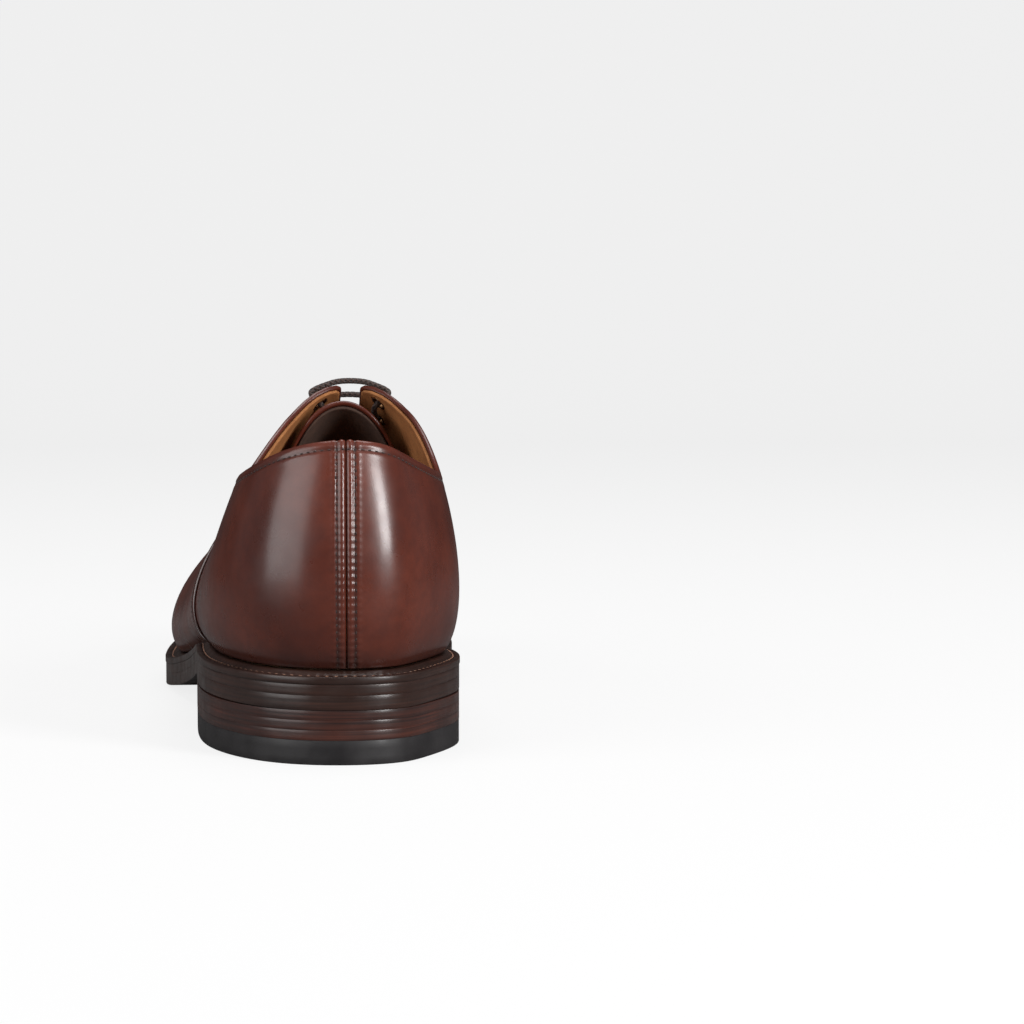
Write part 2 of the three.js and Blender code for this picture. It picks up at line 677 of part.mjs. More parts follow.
function laceGeometry() {
  const section = new THREE.Shape().absarc(0, 0, LACE_RADIUS, 0, 2 * Math.PI);
  return new THREE.ExtrudeGeometry(section, {
    extrudePath: laceRoute(), steps: 110, curveSegments: 4, bevelEnabled: false,
  });
}
add("lace", solidOf(laceGeometry()), LACE_COTTON);

// ---------- bottom ----------
// A sheet of even thickness that follows the sole's bend, between two heights above the underside.
function bedPlate(insetAt, low, high, startShare = 0, endShare = 1, halfWidthLimit = Infinity) {
  const rows = Math.round(lerp(6, 34, endShare - startShare));
  const columns = 2;
  const first = startShare === 0 ? 0.02 : angleAt(startShare);
  const last = endShare === 1 ? Math.PI - 0.02 : angleAt(endShare);
  return sheet(rows, columns, (i, j, face) => {
    const angle = lerp(first, last, i / rows);
    const left = outline(-angle, insetAt(-angle));
    const right = outline(angle, insetAt(angle));
    const middle = (left.x + right.x) / 2;
    left.x = Math.max(left.x, middle - halfWidthLimit);
    right.x = Math.min(right.x, middle + halfWidthLimit);
    const p = left.lerp(right, j / columns);
    return new THREE.Vector3(p.x, p.y, underside(p.y) + (face ? low : high));
  });
}
add("outsole", bedPlate(() => 0.2, 0, OUTSOLE - GAP), SOLE_LEATHER);
add("midsole", bedPlate(() => 0.4, OUTSOLE, SOLE_STACK - GAP), SOLE_LEATHER);

// A closed ring: the same profile carried all the way round the shoe.
function ringBody(steps, profile, at) {
  const positions = [];
  for (let i = 0; i < steps; i++) {
    for (const corner of profile) positions.push(...at((2 * Math.PI * i) / steps, corner).toArray());
  }
  const index = (i, j) => (i % steps) * profile.length + (j % profile.length);
  const triangles = [];
  for (let i = 0; i < steps; i++) {
    for (let j = 0; j < profile.length; j++) {
      const [a, b, c, d] = [index(i, j), index(i + 1, j), index(i + 1, j + 1), index(i, j + 1)];
      triangles.push(a, b, c, a, c, d);
    }
  }
  return bodyFrom(positions, triangles);
}

// The welt runs all the way round: flat below, sloping up from its outer edge to the upper.
function welt() {
  const inner = WELT + WELT_INNER_RISE - 2 * GAP;
  const profile = [[0, 0], [0, WELT], [0.62, WELT + 0.6], [0.8, inner], [1, inner], [1, 0]];
  return ringBody(66, profile, (angle, [share, rise]) => {
    const isInner = share === 1;
    const p = outline(angle, share * margin(angle) + (isInner ? WELT_UNDER_UPPER : 0));
    return new THREE.Vector3(p.x, p.y, underside(p.y) + SOLE_STACK + rise);
  });
}
add("welt", welt(), SOLE_LEATHER);

const insoleInset = (angle) => margin(angle) + WELT_UNDER_UPPER + GAP;
const fillerInset = (angle) => insoleInset(angle) + 1;
const CORK = 2;
const INSOLE = 3;
const SOCK = 0.9;
const CAVITY_FLOOR = SOLE_STACK + CORK + INSOLE + 2 * GAP;
add("insole", bedPlate(insoleInset, SOLE_STACK + CORK + GAP, SOLE_STACK + CORK + INSOLE), STIFF_BOARD);
add("sock_liner", bedPlate(fillerInset, CAVITY_FLOOR - GAP, CAVITY_FLOOR - GAP + SOCK), LINING_LEATHER);
add("cork_filler", bedPlate(fillerInset, SOLE_STACK, SOLE_STACK + CORK, 0.47, 0.94), CORK_LOOK);
add("shank", bedPlate(insoleInset, SOLE_STACK, SOLE_STACK + CORK, 0.19, 0.455, 8), STEEL);
add("seat_filler", bedPlate(fillerInset, SOLE_STACK, SOLE_STACK + CORK, 0.05, 0.175), STIFF_BOARD);

// ---------- heel ----------
const NAILS = [[0, 14], [-18, 27], [18, 27], [-20, 55], [20, 55]];

// Plan of the heel: the sole's outline at the back and a shallow curve across the breast.
function heelShape(inset) {
  const corner = angleAt(HEEL_BREAST / SOLE_LENGTH);
  const points = [];
  for (let i = 0; i <= 28; i++) points.push(outline(lerp(-corner, corner, i / 28), inset));
  const right = points[points.length - 1];
  const left = points[0];
  const hollow = 3;
  for (let i = 1; i < 8; i++) {
    const t = i / 8;
    points.push(right.clone().lerp(left, t).sub(new THREE.Vector2(0, 4 * hollow * t * (1 - t))));
  }
  const shape = new THREE.Shape(points);
  for (const [x, y] of NAILS) {
    const hole = new THREE.Path().absarc(x, y, NAIL_RADIUS + GAP, 0, 2 * Math.PI);
    shape.holes.push(hole);
  }
  return shape;
}

function heelLayer(inset, low, high) {
  const options = { depth: high - low, bevelEnabled: false, curveSegments: 5 };
  return solidOf(new THREE.ExtrudeGeometry(heelShape(inset), options).translate(0, 0, low));
}
add("top_lift", heelLayer(0.9, 0, TOP_LIFT - GAP), RUBBER);
const LIFT = (HEEL_HEIGHT - TOP_LIFT) / LIFT_COUNT;
for (let i = 0; i < LIFT_COUNT; i++) {
  const low = TOP_LIFT + i * LIFT;
  add(`heel_lift_${i + 1}`, heelLayer(0.6 - 0.15 * i, low, low + LIFT - GAP), SOLE_LEATHER);
}
NAILS.forEach(([x, y], i) => {
  const length = HEEL_HEIGHT - 3 * GAP;
  const nail = new THREE.CylinderGeometry(NAIL_RADIUS, NAIL_RADIUS, length, 10).rotateX(Math.PI / 2);
  add(`heel_nail_${i + 1}`, solidOf(nail.translate(x, y, length / 2 + GAP)), STEEL);
});

// ---------- place the origin on the ground under the middle of the shoe ----------
const extent = new THREE.Box3().setFromObject(shoe);
const middle = extent.getCenter(new THREE.Vector3());
shoe.position.set(-middle.x, -middle.y, -extent.min.z);

export default shoe;
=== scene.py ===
"""Left-foot welted oxford shoe in dark brown calf: the looks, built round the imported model."""
import math

import bmesh
import bpy
import numpy as np
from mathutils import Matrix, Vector
from mathutils.kdtree import KDTree


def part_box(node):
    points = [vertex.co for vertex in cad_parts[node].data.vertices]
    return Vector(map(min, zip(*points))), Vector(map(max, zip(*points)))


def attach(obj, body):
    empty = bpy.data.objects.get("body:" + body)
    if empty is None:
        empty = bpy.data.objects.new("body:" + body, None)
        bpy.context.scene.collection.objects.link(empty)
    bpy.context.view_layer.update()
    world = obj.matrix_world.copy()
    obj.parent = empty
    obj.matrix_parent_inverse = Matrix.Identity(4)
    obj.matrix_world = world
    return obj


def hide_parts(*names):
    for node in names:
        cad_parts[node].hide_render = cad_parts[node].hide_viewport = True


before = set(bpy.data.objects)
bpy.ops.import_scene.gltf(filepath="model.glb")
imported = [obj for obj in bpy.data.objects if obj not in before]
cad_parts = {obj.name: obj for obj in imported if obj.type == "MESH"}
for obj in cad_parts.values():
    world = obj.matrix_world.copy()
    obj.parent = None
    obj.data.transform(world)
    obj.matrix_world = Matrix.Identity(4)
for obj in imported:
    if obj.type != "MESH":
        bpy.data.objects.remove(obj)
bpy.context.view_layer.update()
MM = 0.001
PI = math.pi

# ---------- sizes, in millimetres, the same as the CAD model's ----------
WELT_LOW, WELT_HIGH = (np.array(c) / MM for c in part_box("welt"))
SOLE_LENGTH = WELT_HIGH[1] - WELT_LOW[1]
BALL_WIDTH = 100.0
INSTEP_HEIGHT = 103.0
HEEL_HEIGHT = 15.0
TOE_SPRING = 10.6
OUTSOLE, MIDSOLE, WELT, WELT_INNER_RISE = 4.0, 3.0, 2.2, 1.8
SOLE_STACK = OUTSOLE + MIDSOLE
FEATHER_RISE = SOLE_STACK + WELT + WELT_INNER_RISE
LEATHER, LINING, STIFFENER, GAP = 1.4, 1.0, 1.3, 0.3
FACING_GAP = 8.0
HEEL_BREAST = 84.0
TOP_LIFT = 6.8
LIFT_COUNT = 3
EYELET_COUNT = 5
EYELET_FROM_EDGE = 8.0
WELT_UNDER_UPPER = 4.7


# ---------- small maths ----------
def smooth(x, low, high):
    t = np.clip((np.asarray(x, float) - low) / (high - low), 0, 1)
    return t * t * (3 - 2 * t)


def lerp(a, b, t):
    return a + (b - a) * t


def spline(points, start_slope=0.0, end_slope=0.0):
    """Cubic spline through (x, y) points with given end slopes, held constant outside them."""
    x = np.array([p[0] for p in points], float)
    y = np.array([p[1] for p in points], float)
    n = len(x)
    step = np.diff(x)
    rise = np.diff(y) / step
    system = np.zeros((n, n))
    right = np.zeros(n)
    system[0, 0] = system[-1, -1] = 1
    right[0], right[-1] = start_slope, end_slope
    for i in range(1, n - 1):
        system[i, i - 1:i + 2] = step[i], 2 * (step[i - 1] + step[i]), step[i - 1]
        right[i] = 3 * (step[i] * rise[i - 1] + step[i - 1] * rise[i])
    slope = np.linalg.solve(system, right)

    def at(value):
        v = np.clip(value, x[0], x[-1])
        i = np.clip(np.searchsorted(x, v, side="right") - 1, 0, n - 2)
        t = (v - x[i]) / step[i]
        a, b, d = step[i] * slope[i], step[i] * slope[i + 1], y[i + 1] - y[i]
        return y[i] + t * (a + t * (3 * d - 2 * a - b + t * (a + b - 2 * d)))
    return at


def angle_table(points):
    return spline([(math.radians(d), v) for d, v in points])


def rad(degrees):
    return np.radians(degrees)


# ---------- plan of the sole ----------
LATERAL_PLAN = [
    (0.05, 25.5), (0.13, 36.5), (0.25, 40.5), (0.38, 42), (0.5, 47), (0.6, 52.5),
    (0.66, 53.5), (0.74, 52), (0.83, 45.5), (0.91, 34), (0.965, 21)]
MEDIAL_PLAN = [
    (0.05, 25), (0.13, 35), (0.25, 33), (0.38, 28), (0.48, 28), (0.58, 34.5),
    (0.67, 42.5), (0.74, 45), (0.82, 43.5), (0.9, 36), (0.96, 24.5)]
HEEL_RADIUS, TOE_RADIUS = 33.0, 25.0
HEEL_AXIS_X, TOE_AXIS_X = 2.0, 3.0


def share_at(angle):
    return (1 - np.cos(angle)) / 2


def angle_at(share):
    return np.arccos(1 - 2 * np.asarray(share, float))


def axis_x(angle):
    return lerp(HEEL_AXIS_X, TOE_AXIS_X, share_at(angle))


def plan_width(table, side):
    points = [(0.0, math.sqrt(HEEL_RADIUS * SOLE_LENGTH / 2))]
    for share, width in table:
        angle = float(angle_at(share))
        half_width = width * BALL_WIDTH / 100 - side * axis_x(angle)
        points.append((angle, half_width / math.sin(angle)))
    points.append((PI, math.sqrt(TOE_RADIUS * SOLE_LENGTH / 2)))
    return spline(points)


lateral_width = plan_width(LATERAL_PLAN, -1)
medial_width = plan_width(MEDIAL_PLAN, 1)


def wrap(angle):
    return angle - 2 * PI * np.round(angle / (2 * PI))


def plan_point(angle):
    a = wrap(angle)
    along = np.abs(a)
    width = np.where(a < 0, lateral_width(along), medial_width(along))
    return np.stack([axis_x(along) + np.sin(a) * width, SOLE_LENGTH * share_at(along)], -1)


def outline(angle, inset):
    """The sole's outline moved straight inward by inset."""
    e = 1e-4
    along = plan_point(angle + e) - plan_point(angle - e)
    along /= np.linalg.norm(along, axis=-1, keepdims=True)
    inward = np.stack([-along[..., 1], along[..., 0]], -1)
    return plan_point(angle) + inward * np.asarray(inset, float)[..., None]


underside_curve = spline([
    (-0.05, HEEL_HEIGHT), (0.27, HEEL_HEIGHT), (0.35, 0.87 * HEEL_HEIGHT), (0.43, 0.57 * HEEL_HEIGHT),
    (0.513, 0.26 * HEEL_HEIGHT), (0.59, 0.06 * HEEL_HEIGHT), (0.656, 0), (0.722, 0.05 * TOE_SPRING),
    (0.81, 0.25 * TOE_SPRING), (0.9, 0.57 * TOE_SPRING), (1, TOE_SPRING)], 0, 4.6 * TOE_SPRING)


def underside(y):
    return underside_curve(y / SOLE_LENGTH)


# ---------- surface of the upper ----------
lateral_margin = angle_table([(0, 4.2), (60, 4.6), (100, 5.2), (130, 6), (160, 6.2), (180, 6.4)])
medial_margin = angle_table([(0, 4.2), (60, 4.4), (100, 4.6), (130, 5.4), (160, 6.2), (180, 6.4)])


def margin(angle):
    a = wrap(angle)
    return np.where(a < 0, lateral_margin(np.abs(a)), medial_margin(np.abs(a)))


def feather_point(angle):
    p = outline(angle, margin(angle))
    return np.concatenate([p, (underside(p[..., 1]) + FEATHER_RISE)[..., None]], -1)


SPINE_START, SPINE_END = 0.1325 * SOLE_LENGTH, 0.8545 * SOLE_LENGTH
spine_height = spline([
    (0.1325, 1.107), (0.248, 1.078), (0.371, 1), (0.464, 0.854), (0.556, 0.704),
    (0.656, 0.583), (0.755, 0.503), (0.87, 0.44)], -0.2, -0.5)
spine_x = spline([
    (0.1325, 3), (0.265, 5.5), (0.371, 7), (0.497, 6), (0.662, 4.5), (0.8545, 4)])


def spine_slope(y):
    share, e = y / SOLE_LENGTH, 2e-3
    return INSTEP_HEIGHT * (spine_height(share + e) - spine_height(share - e)) / (2 * e * SOLE_LENGTH)


def spine_point(angle):
    y = lerp(SPINE_START, SPINE_END, share_at(np.abs(angle)))
    share = y / SOLE_LENGTH
    return np.stack([spine_x(share), y, INSTEP_HEIGHT * spine_height(share)], -1)


STATIONS = (0, 30, 55, 72, 95, 120, 150, 180)
LATERAL_SHAPE = [angle_table(list(zip(STATIONS, row))) for row in (
    (1.225, 1.24, 1.32, 1.5, 1.28, 1.15, 1.09, 1.075),
    (0.18, 0.165, 0.14, 0.15, 0.19, 0.3, 0.375, 0.41),
    (1.15, 1.11, 0.8, 0.49, 0.76, 0.91, 0.985, 1.025),
    (0.62, 0.61, 0.57, 0.55, 0.59, 0.695, 0.75, 0.775),
    (0.75, 0.675, 0.47, 0.58, 0.45, 0.48, 0.64, 0.71))]
MEDIAL_SHAPE = [angle_table(list(zip(STATIONS, row))) for row in (
    (1.225, 1.285, 1.48, 2.06, 1.75, 1.24, 1.105, 1.075),
    (0.18, 0.15, 0.115, 0.15, 0.2, 0.315, 0.39, 0.41),
    (1.15, 1.165, 1.22, 1.5, 1.35, 1.01, 1, 1.025),
    (0.62, 0.6, 0.56, 0.55, 0.6, 0.705, 0.76, 0.775),
    (0.75, 0.71, 0.78, 1.26, 0.85, 0.54, 0.645, 0.71))]


def upper(angle, height):
    """Point of the upper's surface: height 0 at the feather line, 1 at the spine, more goes down again."""
    angle, height = np.broadcast_arrays(np.asarray(angle, float), np.asarray(height, float))
    over = height > 1
    a = wrap(np.where(over, -angle, angle))
    h = np.where(over, 2 - height, height)
    along = np.abs(a)
    low_w, low_h, mid_w, mid_h, shoulder = (
        np.where(a < 0, lateral(along), medial(along))
        for lateral, medial in zip(LATERAL_SHAPE, MEDIAL_SHAPE))
    rest = 1 - h
    at_low, at_middle, at_shoulder = 4 * rest ** 3 * h, 6 * rest ** 2 * h ** 2, 4 * rest * h ** 3
    outward = rest ** 4 + at_low * low_w + at_middle * mid_w + at_shoulder * shoulder
    upward = at_low * low_h + at_middle * mid_h + at_shoulder + h ** 4
    feather, spine = feather_point(a), spine_point(along)
    reach = shoulder * (feather[..., 1] - spine[..., 1])
    tilt = smooth(along, rad(100), rad(135)) * spine_slope(spine[..., 1]) * reach * at_shoulder
    return np.stack([
        lerp(spine[..., 0], feather[..., 0], outward),
        lerp(spine[..., 1], feather[..., 1], outward),
        lerp(feather[..., 2], spine[..., 2], upward) + tilt], -1)


def outward_from(angle, height):
    """Outward direction of the surface, turned level at the feather line."""
    e = 2e-3
    angle, height = np.broadcast_arrays(np.asarray(angle, float), np.asarray(height, float))
    at_toe = (height > 0.98) & (np.abs(np.abs(angle) - PI) < 0.05)
    a = np.where(at_toe, np.sign(angle) * (PI - 0.05), angle)
    round_ = upper(a + e, height) - upper(a - e, height)
    climb = upper(a, height + e) - upper(a, np.maximum(height - e, 0))
    normal = np.cross(round_, climb)
    normal /= np.maximum(np.linalg.norm(normal, axis=-1, keepdims=True), 1e-12)
    normal[..., 2] *= smooth(height, 0, 0.16)
    return normal / np.linalg.norm(normal, axis=-1, keepdims=True)


def offset_point(angle, height, offset):
    return upper(angle, height) + outward_from(angle, height) * np.asarray(offset, float)[..., None]


def height_near_spine(angle, distance):
    """Height on the surface at a given distance from the spine."""
    angle = np.asarray(angle, float)
    top = upper(angle, np.ones_like(angle))
    low, high = np.full_like(angle, 0.3), np.ones_like(angle)
    for _ in range(30):
        middle = (low + high) / 2
        far = np.linalg.norm(upper(angle, middle) - top, axis=-1) > distance
        low, high = np.where(far, middle, low), np.where(far, high, middle)
    return (low + high) / 2


# ---------- seam lines ----------
topline_lateral = angle_table([
    (0, 0.59), (20, 0.565), (38, 0.52), (50, 0.51), (60, 0.56), (67, 0.72), (70, 0.83), (73, 1.02)])
topline_medial = angle_table([
    (0, 0.59), (20, 0.57), (38, 0.535), (50, 0.53), (60, 0.59), (67, 0.74), (70, 0.84), (73, 1.02)])
CORNER_SHARPNESS = 45
VAMP_SEAM_BOTTOM, VAMP_SEAM_TOP, VAMP_SEAM_SWEEP = rad(58), rad(104), 1.25
THROAT_START, THROAT_ROUNDING = 0.86, rad(3.2)
CAP_SEAM_SIDE_Y, CAP_SEAM_TOP_Y = 0.79 * SOLE_LENGTH, 0.762 * SOLE_LENGTH
CAP_LAP, UNDERLAP = rad(4), rad(6)


def vamp_seam(height):
    height = np.asarray(height, float)
    line = lerp(VAMP_SEAM_BOTTOM, VAMP_SEAM_TOP, height ** VAMP_SEAM_SWEEP)
    return line - THROAT_ROUNDING * np.clip((height - THROAT_START) / (1 - THROAT_START), 0, 1) ** 2


def cap_seam(side, height):
    """Angle at which the surface reaches the straight line of the toe cap's edge."""
    height = np.asarray(height, float)
    target = lerp(CAP_SEAM_SIDE_Y, CAP_SEAM_TOP_Y, smooth(height, 0, 0.75))
    low, high = np.full_like(height, VAMP_SEAM_TOP), np.full_like(height, rad(172))
    for _ in range(24):
        middle = (low + high) / 2
        behind = upper(side * middle, height)[..., 1] < target
        low, high = np.where(behind, middle, low), np.where(behind, high, middle)
    return (low + high) / 2


def quarter_top(side, along, lowered=0.0):
    """Height of a quarter's top edge: the topline, then the facing edge, with a rounded corner."""
    topline = (topline_lateral if side < 0 else topline_medial)(along)
    facing = height_near_spine(side * along, FACING_GAP / 2)
    k = CORNER_SHARPNESS
    return -np.log(np.exp(-k * topline) + np.exp(-k * facing)) / k - lowered


def under_vamp(along, underlap):
    share = (along - underlap - VAMP_SEAM_BOTTOM) / (VAMP_SEAM_TOP - VAMP_SEAM_BOTTOM)
    return np.clip(share, 0, None) ** (1 / VAMP_SEAM_SWEEP)


# The plan's own axis lies off the middle of the frame; the welt's box says by how much.
_ring = outline(np.linspace(-PI, PI, 2001), 0)
SHIFT = np.array([
    (WELT_LOW[0] + WELT_HIGH[0] - _ring[:, 0].min() - _ring[:, 0].max()) / 2, WELT_LOW[1], 0.0])


# ---------- meshes ----------
def new_object(name, points, faces, material):
    mesh = bpy.data.meshes.new(name)
    points = (np.asarray(points, float) + SHIFT) * MM
    mesh.from_pydata(points.tolist(), [], faces)
    mesh.validate()
    mesh.update()
    obj = bpy.data.objects.new(name, mesh)
    bpy.context.scene.collection.objects.link(obj)
    obj.data.materials.append(material)
    mesh.polygons.foreach_set("use_smooth", np.ones(len(mesh.polygons), bool))
    return obj


def face_outward(obj):
    """Turns the faces of a closed mesh outward and merges shared corners."""
    work = bmesh.new()
    work.from_mesh(obj.data)
    bmesh.ops.remove_doubles(work, verts=work.verts, dist=2e-6)
    bmesh.ops.recalc_face_normals(work, faces=work.faces)
    work.to_mesh(obj.data)
    work.free()
    return obj


RIM_STEPS = 5


def rim_between(outer, inner):
    """Points of a half-round rim that joins the last columns of two grids."""
    middle, reach = (outer[:, -1] + inner[:, -1]) / 2, (outer[:, -1] - inner[:, -1]) / 2
    ahead = outer[:, -1] - outer[:, -2] + inner[:, -1] - inner[:, -2]
    across = (ahead * reach).sum(1, keepdims=True) / (reach * reach).sum(1, keepdims=True)
    ahead = ahead - reach * across
    ahead *= np.linalg.norm(reach, axis=1, keepdims=True) / np.linalg.norm(ahead, axis=1, keepdims=True)
    turns = (np.arange(RIM_STEPS) + 1) * PI / (RIM_STEPS + 1)
    return middle[:, None] + np.cos(turns)[:, None] * reach[:, None] + np.sin(turns)[:, None] * ahead[:, None]


def shell(name, outer, inner, material, closed_back=True, soft_edge=0.3):
    """A closed sheet of leather between two grids; its last column gets a rounded rim."""
    rows, columns = outer.shape[:2]
    section = np.concatenate([outer, rim_between(outer, inner), inner[:, ::-1]], 1)
    wide = section.shape[1]
    index = np.arange(rows * wide).reshape(rows, wide)
    around = np.concatenate([index, index[:, :1]], 1) if closed_back else index
    quads = np.stack([around[:-1, :-1], around[1:, :-1], around[1:, 1:], around[:-1, 1:]], -1)
    faces = quads.reshape(-1, 4).tolist()
    for row in (0, -1):
        line = index[row].tolist()
        for j in range(columns - 1):
            faces.append((line[j], line[j + 1], line[wide - 2 - j], line[wide - 1 - j]))
        faces.append(tuple(line[columns - 1:wide - columns + 1]))
    obj = face_outward(new_object(name, section.reshape(-1, 3), faces, material))
    if soft_edge:
        bevel = obj.modifiers.new("soft_edges", "BEVEL")
        bevel.width = soft_edge * MM
        bevel.segments = 2
        bevel.limit_method = "ANGLE"
        bevel.angle_limit = rad(52)
    return obj


def ring_faces(steps, corners):
    """Faces of a closed profile carried round a closed ring."""
    faces = []
    for i in range(steps):
        for j in range(corners):
            k, m = (i + 1) % steps, (j + 1) % corners
            faces.append((i * corners + j, k * corners + j, k * corners + m, i * corners + m))
    return faces


def ring_body(name, angles, profile, at, material):
    """The same closed profile carried all the way round the shoe."""
    rings = np.stack([at(angles, corner) for corner in profile], 1)
    faces = ring_faces(len(angles), len(profile))
    return face_outward(new_object(name, rings.reshape(-1, 3), faces, material))


def stitches(name, points, normals, material, length, radius, lift=0.02):
    """Short rounded thread lengths lying along a line of points, one per point."""
    points, normals = np.asarray(points, float), np.asarray(normals, float)
    tangent = np.gradient(points, axis=0)
    tangent /= np.linalg.norm(tangent, axis=1, keepdims=True)
    side = np.cross(normals, tangent)
    side /= np.linalg.norm(side, axis=1, keepdims=True)
    rings, around = 6, 6
    verts, faces = [], []
    for i in range(len(points)):
        base = len(verts)
        for ring in range(rings):
            t = ring / (rings - 1) * 2 - 1
            size = radius * math.sqrt(max(1 - abs(t) ** 3, 0.02))
            sink = -0.35 * abs(t) ** 3
            for k in range(around):
                a = 2 * PI * k / around
                offset = side[i] * math.cos(a) * size + normals[i] * (math.sin(a) * size + sink + lift)
                verts.append(points[i] + tangent[i] * t * length / 2 + offset)
        for ring in range(rings - 1):
            for k in range(around):
                a, b = base + ring * around + k, base + ring * around + (k + 1) % around
                faces.append((a, b, b + around, a + around))
        faces.append(tuple(base + k for k in range(around))[::-1])
        faces.append(tuple(base + (rings - 1) * around + k for k in range(around)))
    return new_object(name, verts, faces, material)


# ---------- materials ----------
class Look:
    """A node material, with short calls for the nodes that these looks use."""

    def __init__(self, name, **settings):
        self.material = bpy.data.materials.new(name)
        self.material.use_nodes = True
        self.tree = self.material.node_tree
        self.shader = self.tree.nodes["Principled BSDF"]
        for key, value in settings.items():
            self.shader.inputs[key.replace("_", " ")].default_value = value
        self.place = self.node("ShaderNodeTexCoord").outputs["Object"]

    def node(self, kind, **settings):
        made = self.tree.nodes.new(kind)
        for key, value in settings.items():
            setattr(made, key, value)
        return made

    def join(self, output, socket):
        self.tree.links.new(output, socket)

    def stretched(self, scale):
        mapping = self.node("ShaderNodeMapping")
        mapping.inputs["Scale"].default_value = scale
        self.join(self.place, mapping.inputs["Vector"])
        return mapping.outputs["Vector"]

    def noise(self, size_mm, detail=4.0, roughness=0.5, vector=None):
        made = self.node("ShaderNodeTexNoise")
        made.inputs["Scale"].default_value = 1 / (size_mm * MM)
        made.inputs["Detail"].default_value = detail
        made.inputs["Roughness"].default_value = roughness
        self.join(vector or self.place, made.inputs["Vector"])
        return made.outputs["Fac"]

    def cells(self, size_mm):
        made = self.node("ShaderNodeTexVoronoi", feature="DISTANCE_TO_EDGE")
        made.inputs["Scale"].default_value = 1 / (size_mm * MM)
        self.join(self.place, made.inputs["Vector"])
        return made.outputs["Distance"]

    def attribute(self, name):
        made = self.node("ShaderNodeAttribute", attribute_name=name)
        return made.outputs["Fac"]

    def range(self, value, low, high, to_low, to_high):
        made = self.node("ShaderNodeMapRange")
        for key, number in zip(("From Min", "From Max", "To Min", "To Max"), (low, high, to_low, to_high)):
            made.inputs[key].default_value = number
        self.join(value, made.inputs["Value"])
        return made.outputs["Result"]

    def math(self, operation, a, b):
        made = self.node("ShaderNodeMath", operation=operation)
        for socket, value in zip(made.inputs, (a, b)):
            if isinstance(value, (int, float)):
                socket.default_value = value
            else:
                self.join(value, socket)
        return made.outputs[0]

    def mix(self, factor, a, b):
        made = self.node("ShaderNodeMix", data_type="RGBA")
        self.join(factor, made.inputs["Factor"])
        for socket, value in zip((made.inputs[6], made.inputs[7]), (a, b)):
            if isinstance(value, tuple):
                socket.default_value = (*value, 1)
            else:
                self.join(value, socket)
        return made.outputs[2]

    def color(self, output):
        self.join(output, self.shader.inputs["Base Color"])

    def roughness(self, output):
        self.join(output, self.shader.inputs["Roughness"])

    def bump(self, height, strength, distance_mm):
        made = self.node("ShaderNodeBump")
        made.inputs["Strength"].default_value = strength
        made.inputs["Distance"].default_value = distance_mm * MM
        self.join(height, made.inputs["Height"])
        before = self.shader.inputs["Normal"].links
        if before:
            self.join(before[0].from_socket, made.inputs["Normal"])
        self.join(made.outputs["Normal"], self.shader.inputs["Normal"])


def calf_look():
    """Polished mahogany calf: fine pores, a little waviness, darker where it is burnished and where shade is
    painted into seams, stitch rows and along the feather line.
    """
    look = Look("calf", Roughness=0.34, Coat_Weight=0.4, Coat_Roughness=0.2, Coat_IOR=1.5)
    tone = look.range(look.noise(26, 3), 0.35, 0.65, 0, 1)
    body = look.mix(tone, (0.088, 0.016, 0.008), (0.15, 0.031, 0.016))
    mottle = look.range(look.noise(3.2, 5, 0.65), 0.4, 0.7, 0, 0.4)
    body = look.mix(mottle, body, (0.062, 0.014, 0.009))
    # Darkening read from the points: burnish at the cut edges and toe, and painted shade in seams, stitch
    # rows and along the feather line.
    burnish_and_shade = look.range(look.attribute("burnish_and_shade"), 0, 1, 0, 0.85)
    look.color(look.mix(burnish_and_shade, body, (0.024, 0.009, 0.007)))
    look.roughness(look.range(look.noise(9, 4), 0.3, 0.7, 0.24, 0.38))
    look.bump(look.noise(11, 2), 0.12, 0.35)
    look.bump(look.cells(0.62), 0.16, 0.05)
    look.bump(look.noise(0.45, 3), 0.16, 0.05)
    return look.material


def lining_look(name, dark, light, nap=0.5):
    """Nappy lining leather: matt, with a soft bloom and small fibres."""
    look = Look(name, Roughness=0.85, Sheen_Weight=nap, Sheen_Roughness=0.5)
    look.shader.inputs["Sheen Tint"].default_value = (*light, 1)
    tone = look.range(look.noise(7, 5, 0.65), 0.32, 0.68, 0, 1)
    body = look.mix(tone, dark, light)
    fibre = look.range(look.noise(0.8, 5, 0.75), 0.45, 0.75, 0, 0.55)
    look.color(look.mix(fibre, body, tuple(c * 0.55 for c in dark)))
    look.bump(look.noise(1.1, 5, 0.7), 0.5, 0.25)
    return look.material


def sole_edge_look(name, dark, light, lines=0.15):
    """Burnished edge of stacked sole leather: fine level lines, wax shine, a few pale fibres."""
    look = Look(name, Roughness=0.34, Coat_Weight=0.3, Coat_Roughness=0.22)
    layers = look.noise(9, 5, 0.6, look.stretched((0.22, 0.22, 16)))
    tone = look.range(layers, 0.36, 0.66, 0, 1)
    patches = look.range(look.noise(14, 3), 0.3, 0.7, 0.25, 1)
    look.color(look.mix(look.math("MULTIPLY", tone, patches), dark, light))
    look.roughness(look.range(look.noise(5, 4), 0.3, 0.7, 0.28, 0.46))
    look.bump(layers, lines, 0.12)
    look.bump(look.noise(0.7, 4), 0.15, 0.06)
    return look.material


def rubber_look():
    look = Look("rubber", Roughness=0.5)
    tone = look.range(look.noise(12, 4), 0.3, 0.7, 0, 1)
    look.color(look.mix(tone, (0.019, 0.017, 0.018), (0.035, 0.032, 0.033)))
    look.roughness(look.range(look.noise(6, 4), 0.3, 0.7, 0.4, 0.56))
    look.bump(look.noise(0.5, 4), 0.2, 0.06)
    return look.material


def thread_look(name, dark, light):
    look = Look(name, Roughness=0.6, Sheen_Weight=0.2)
    tone = look.range(look.noise(1.2, 3), 0.35, 0.65, 0, 1)
    look.color(look.mix(tone, dark, light))
    look.bump(look.noise(0.25, 3), 0.4, 0.08)
    return look.material


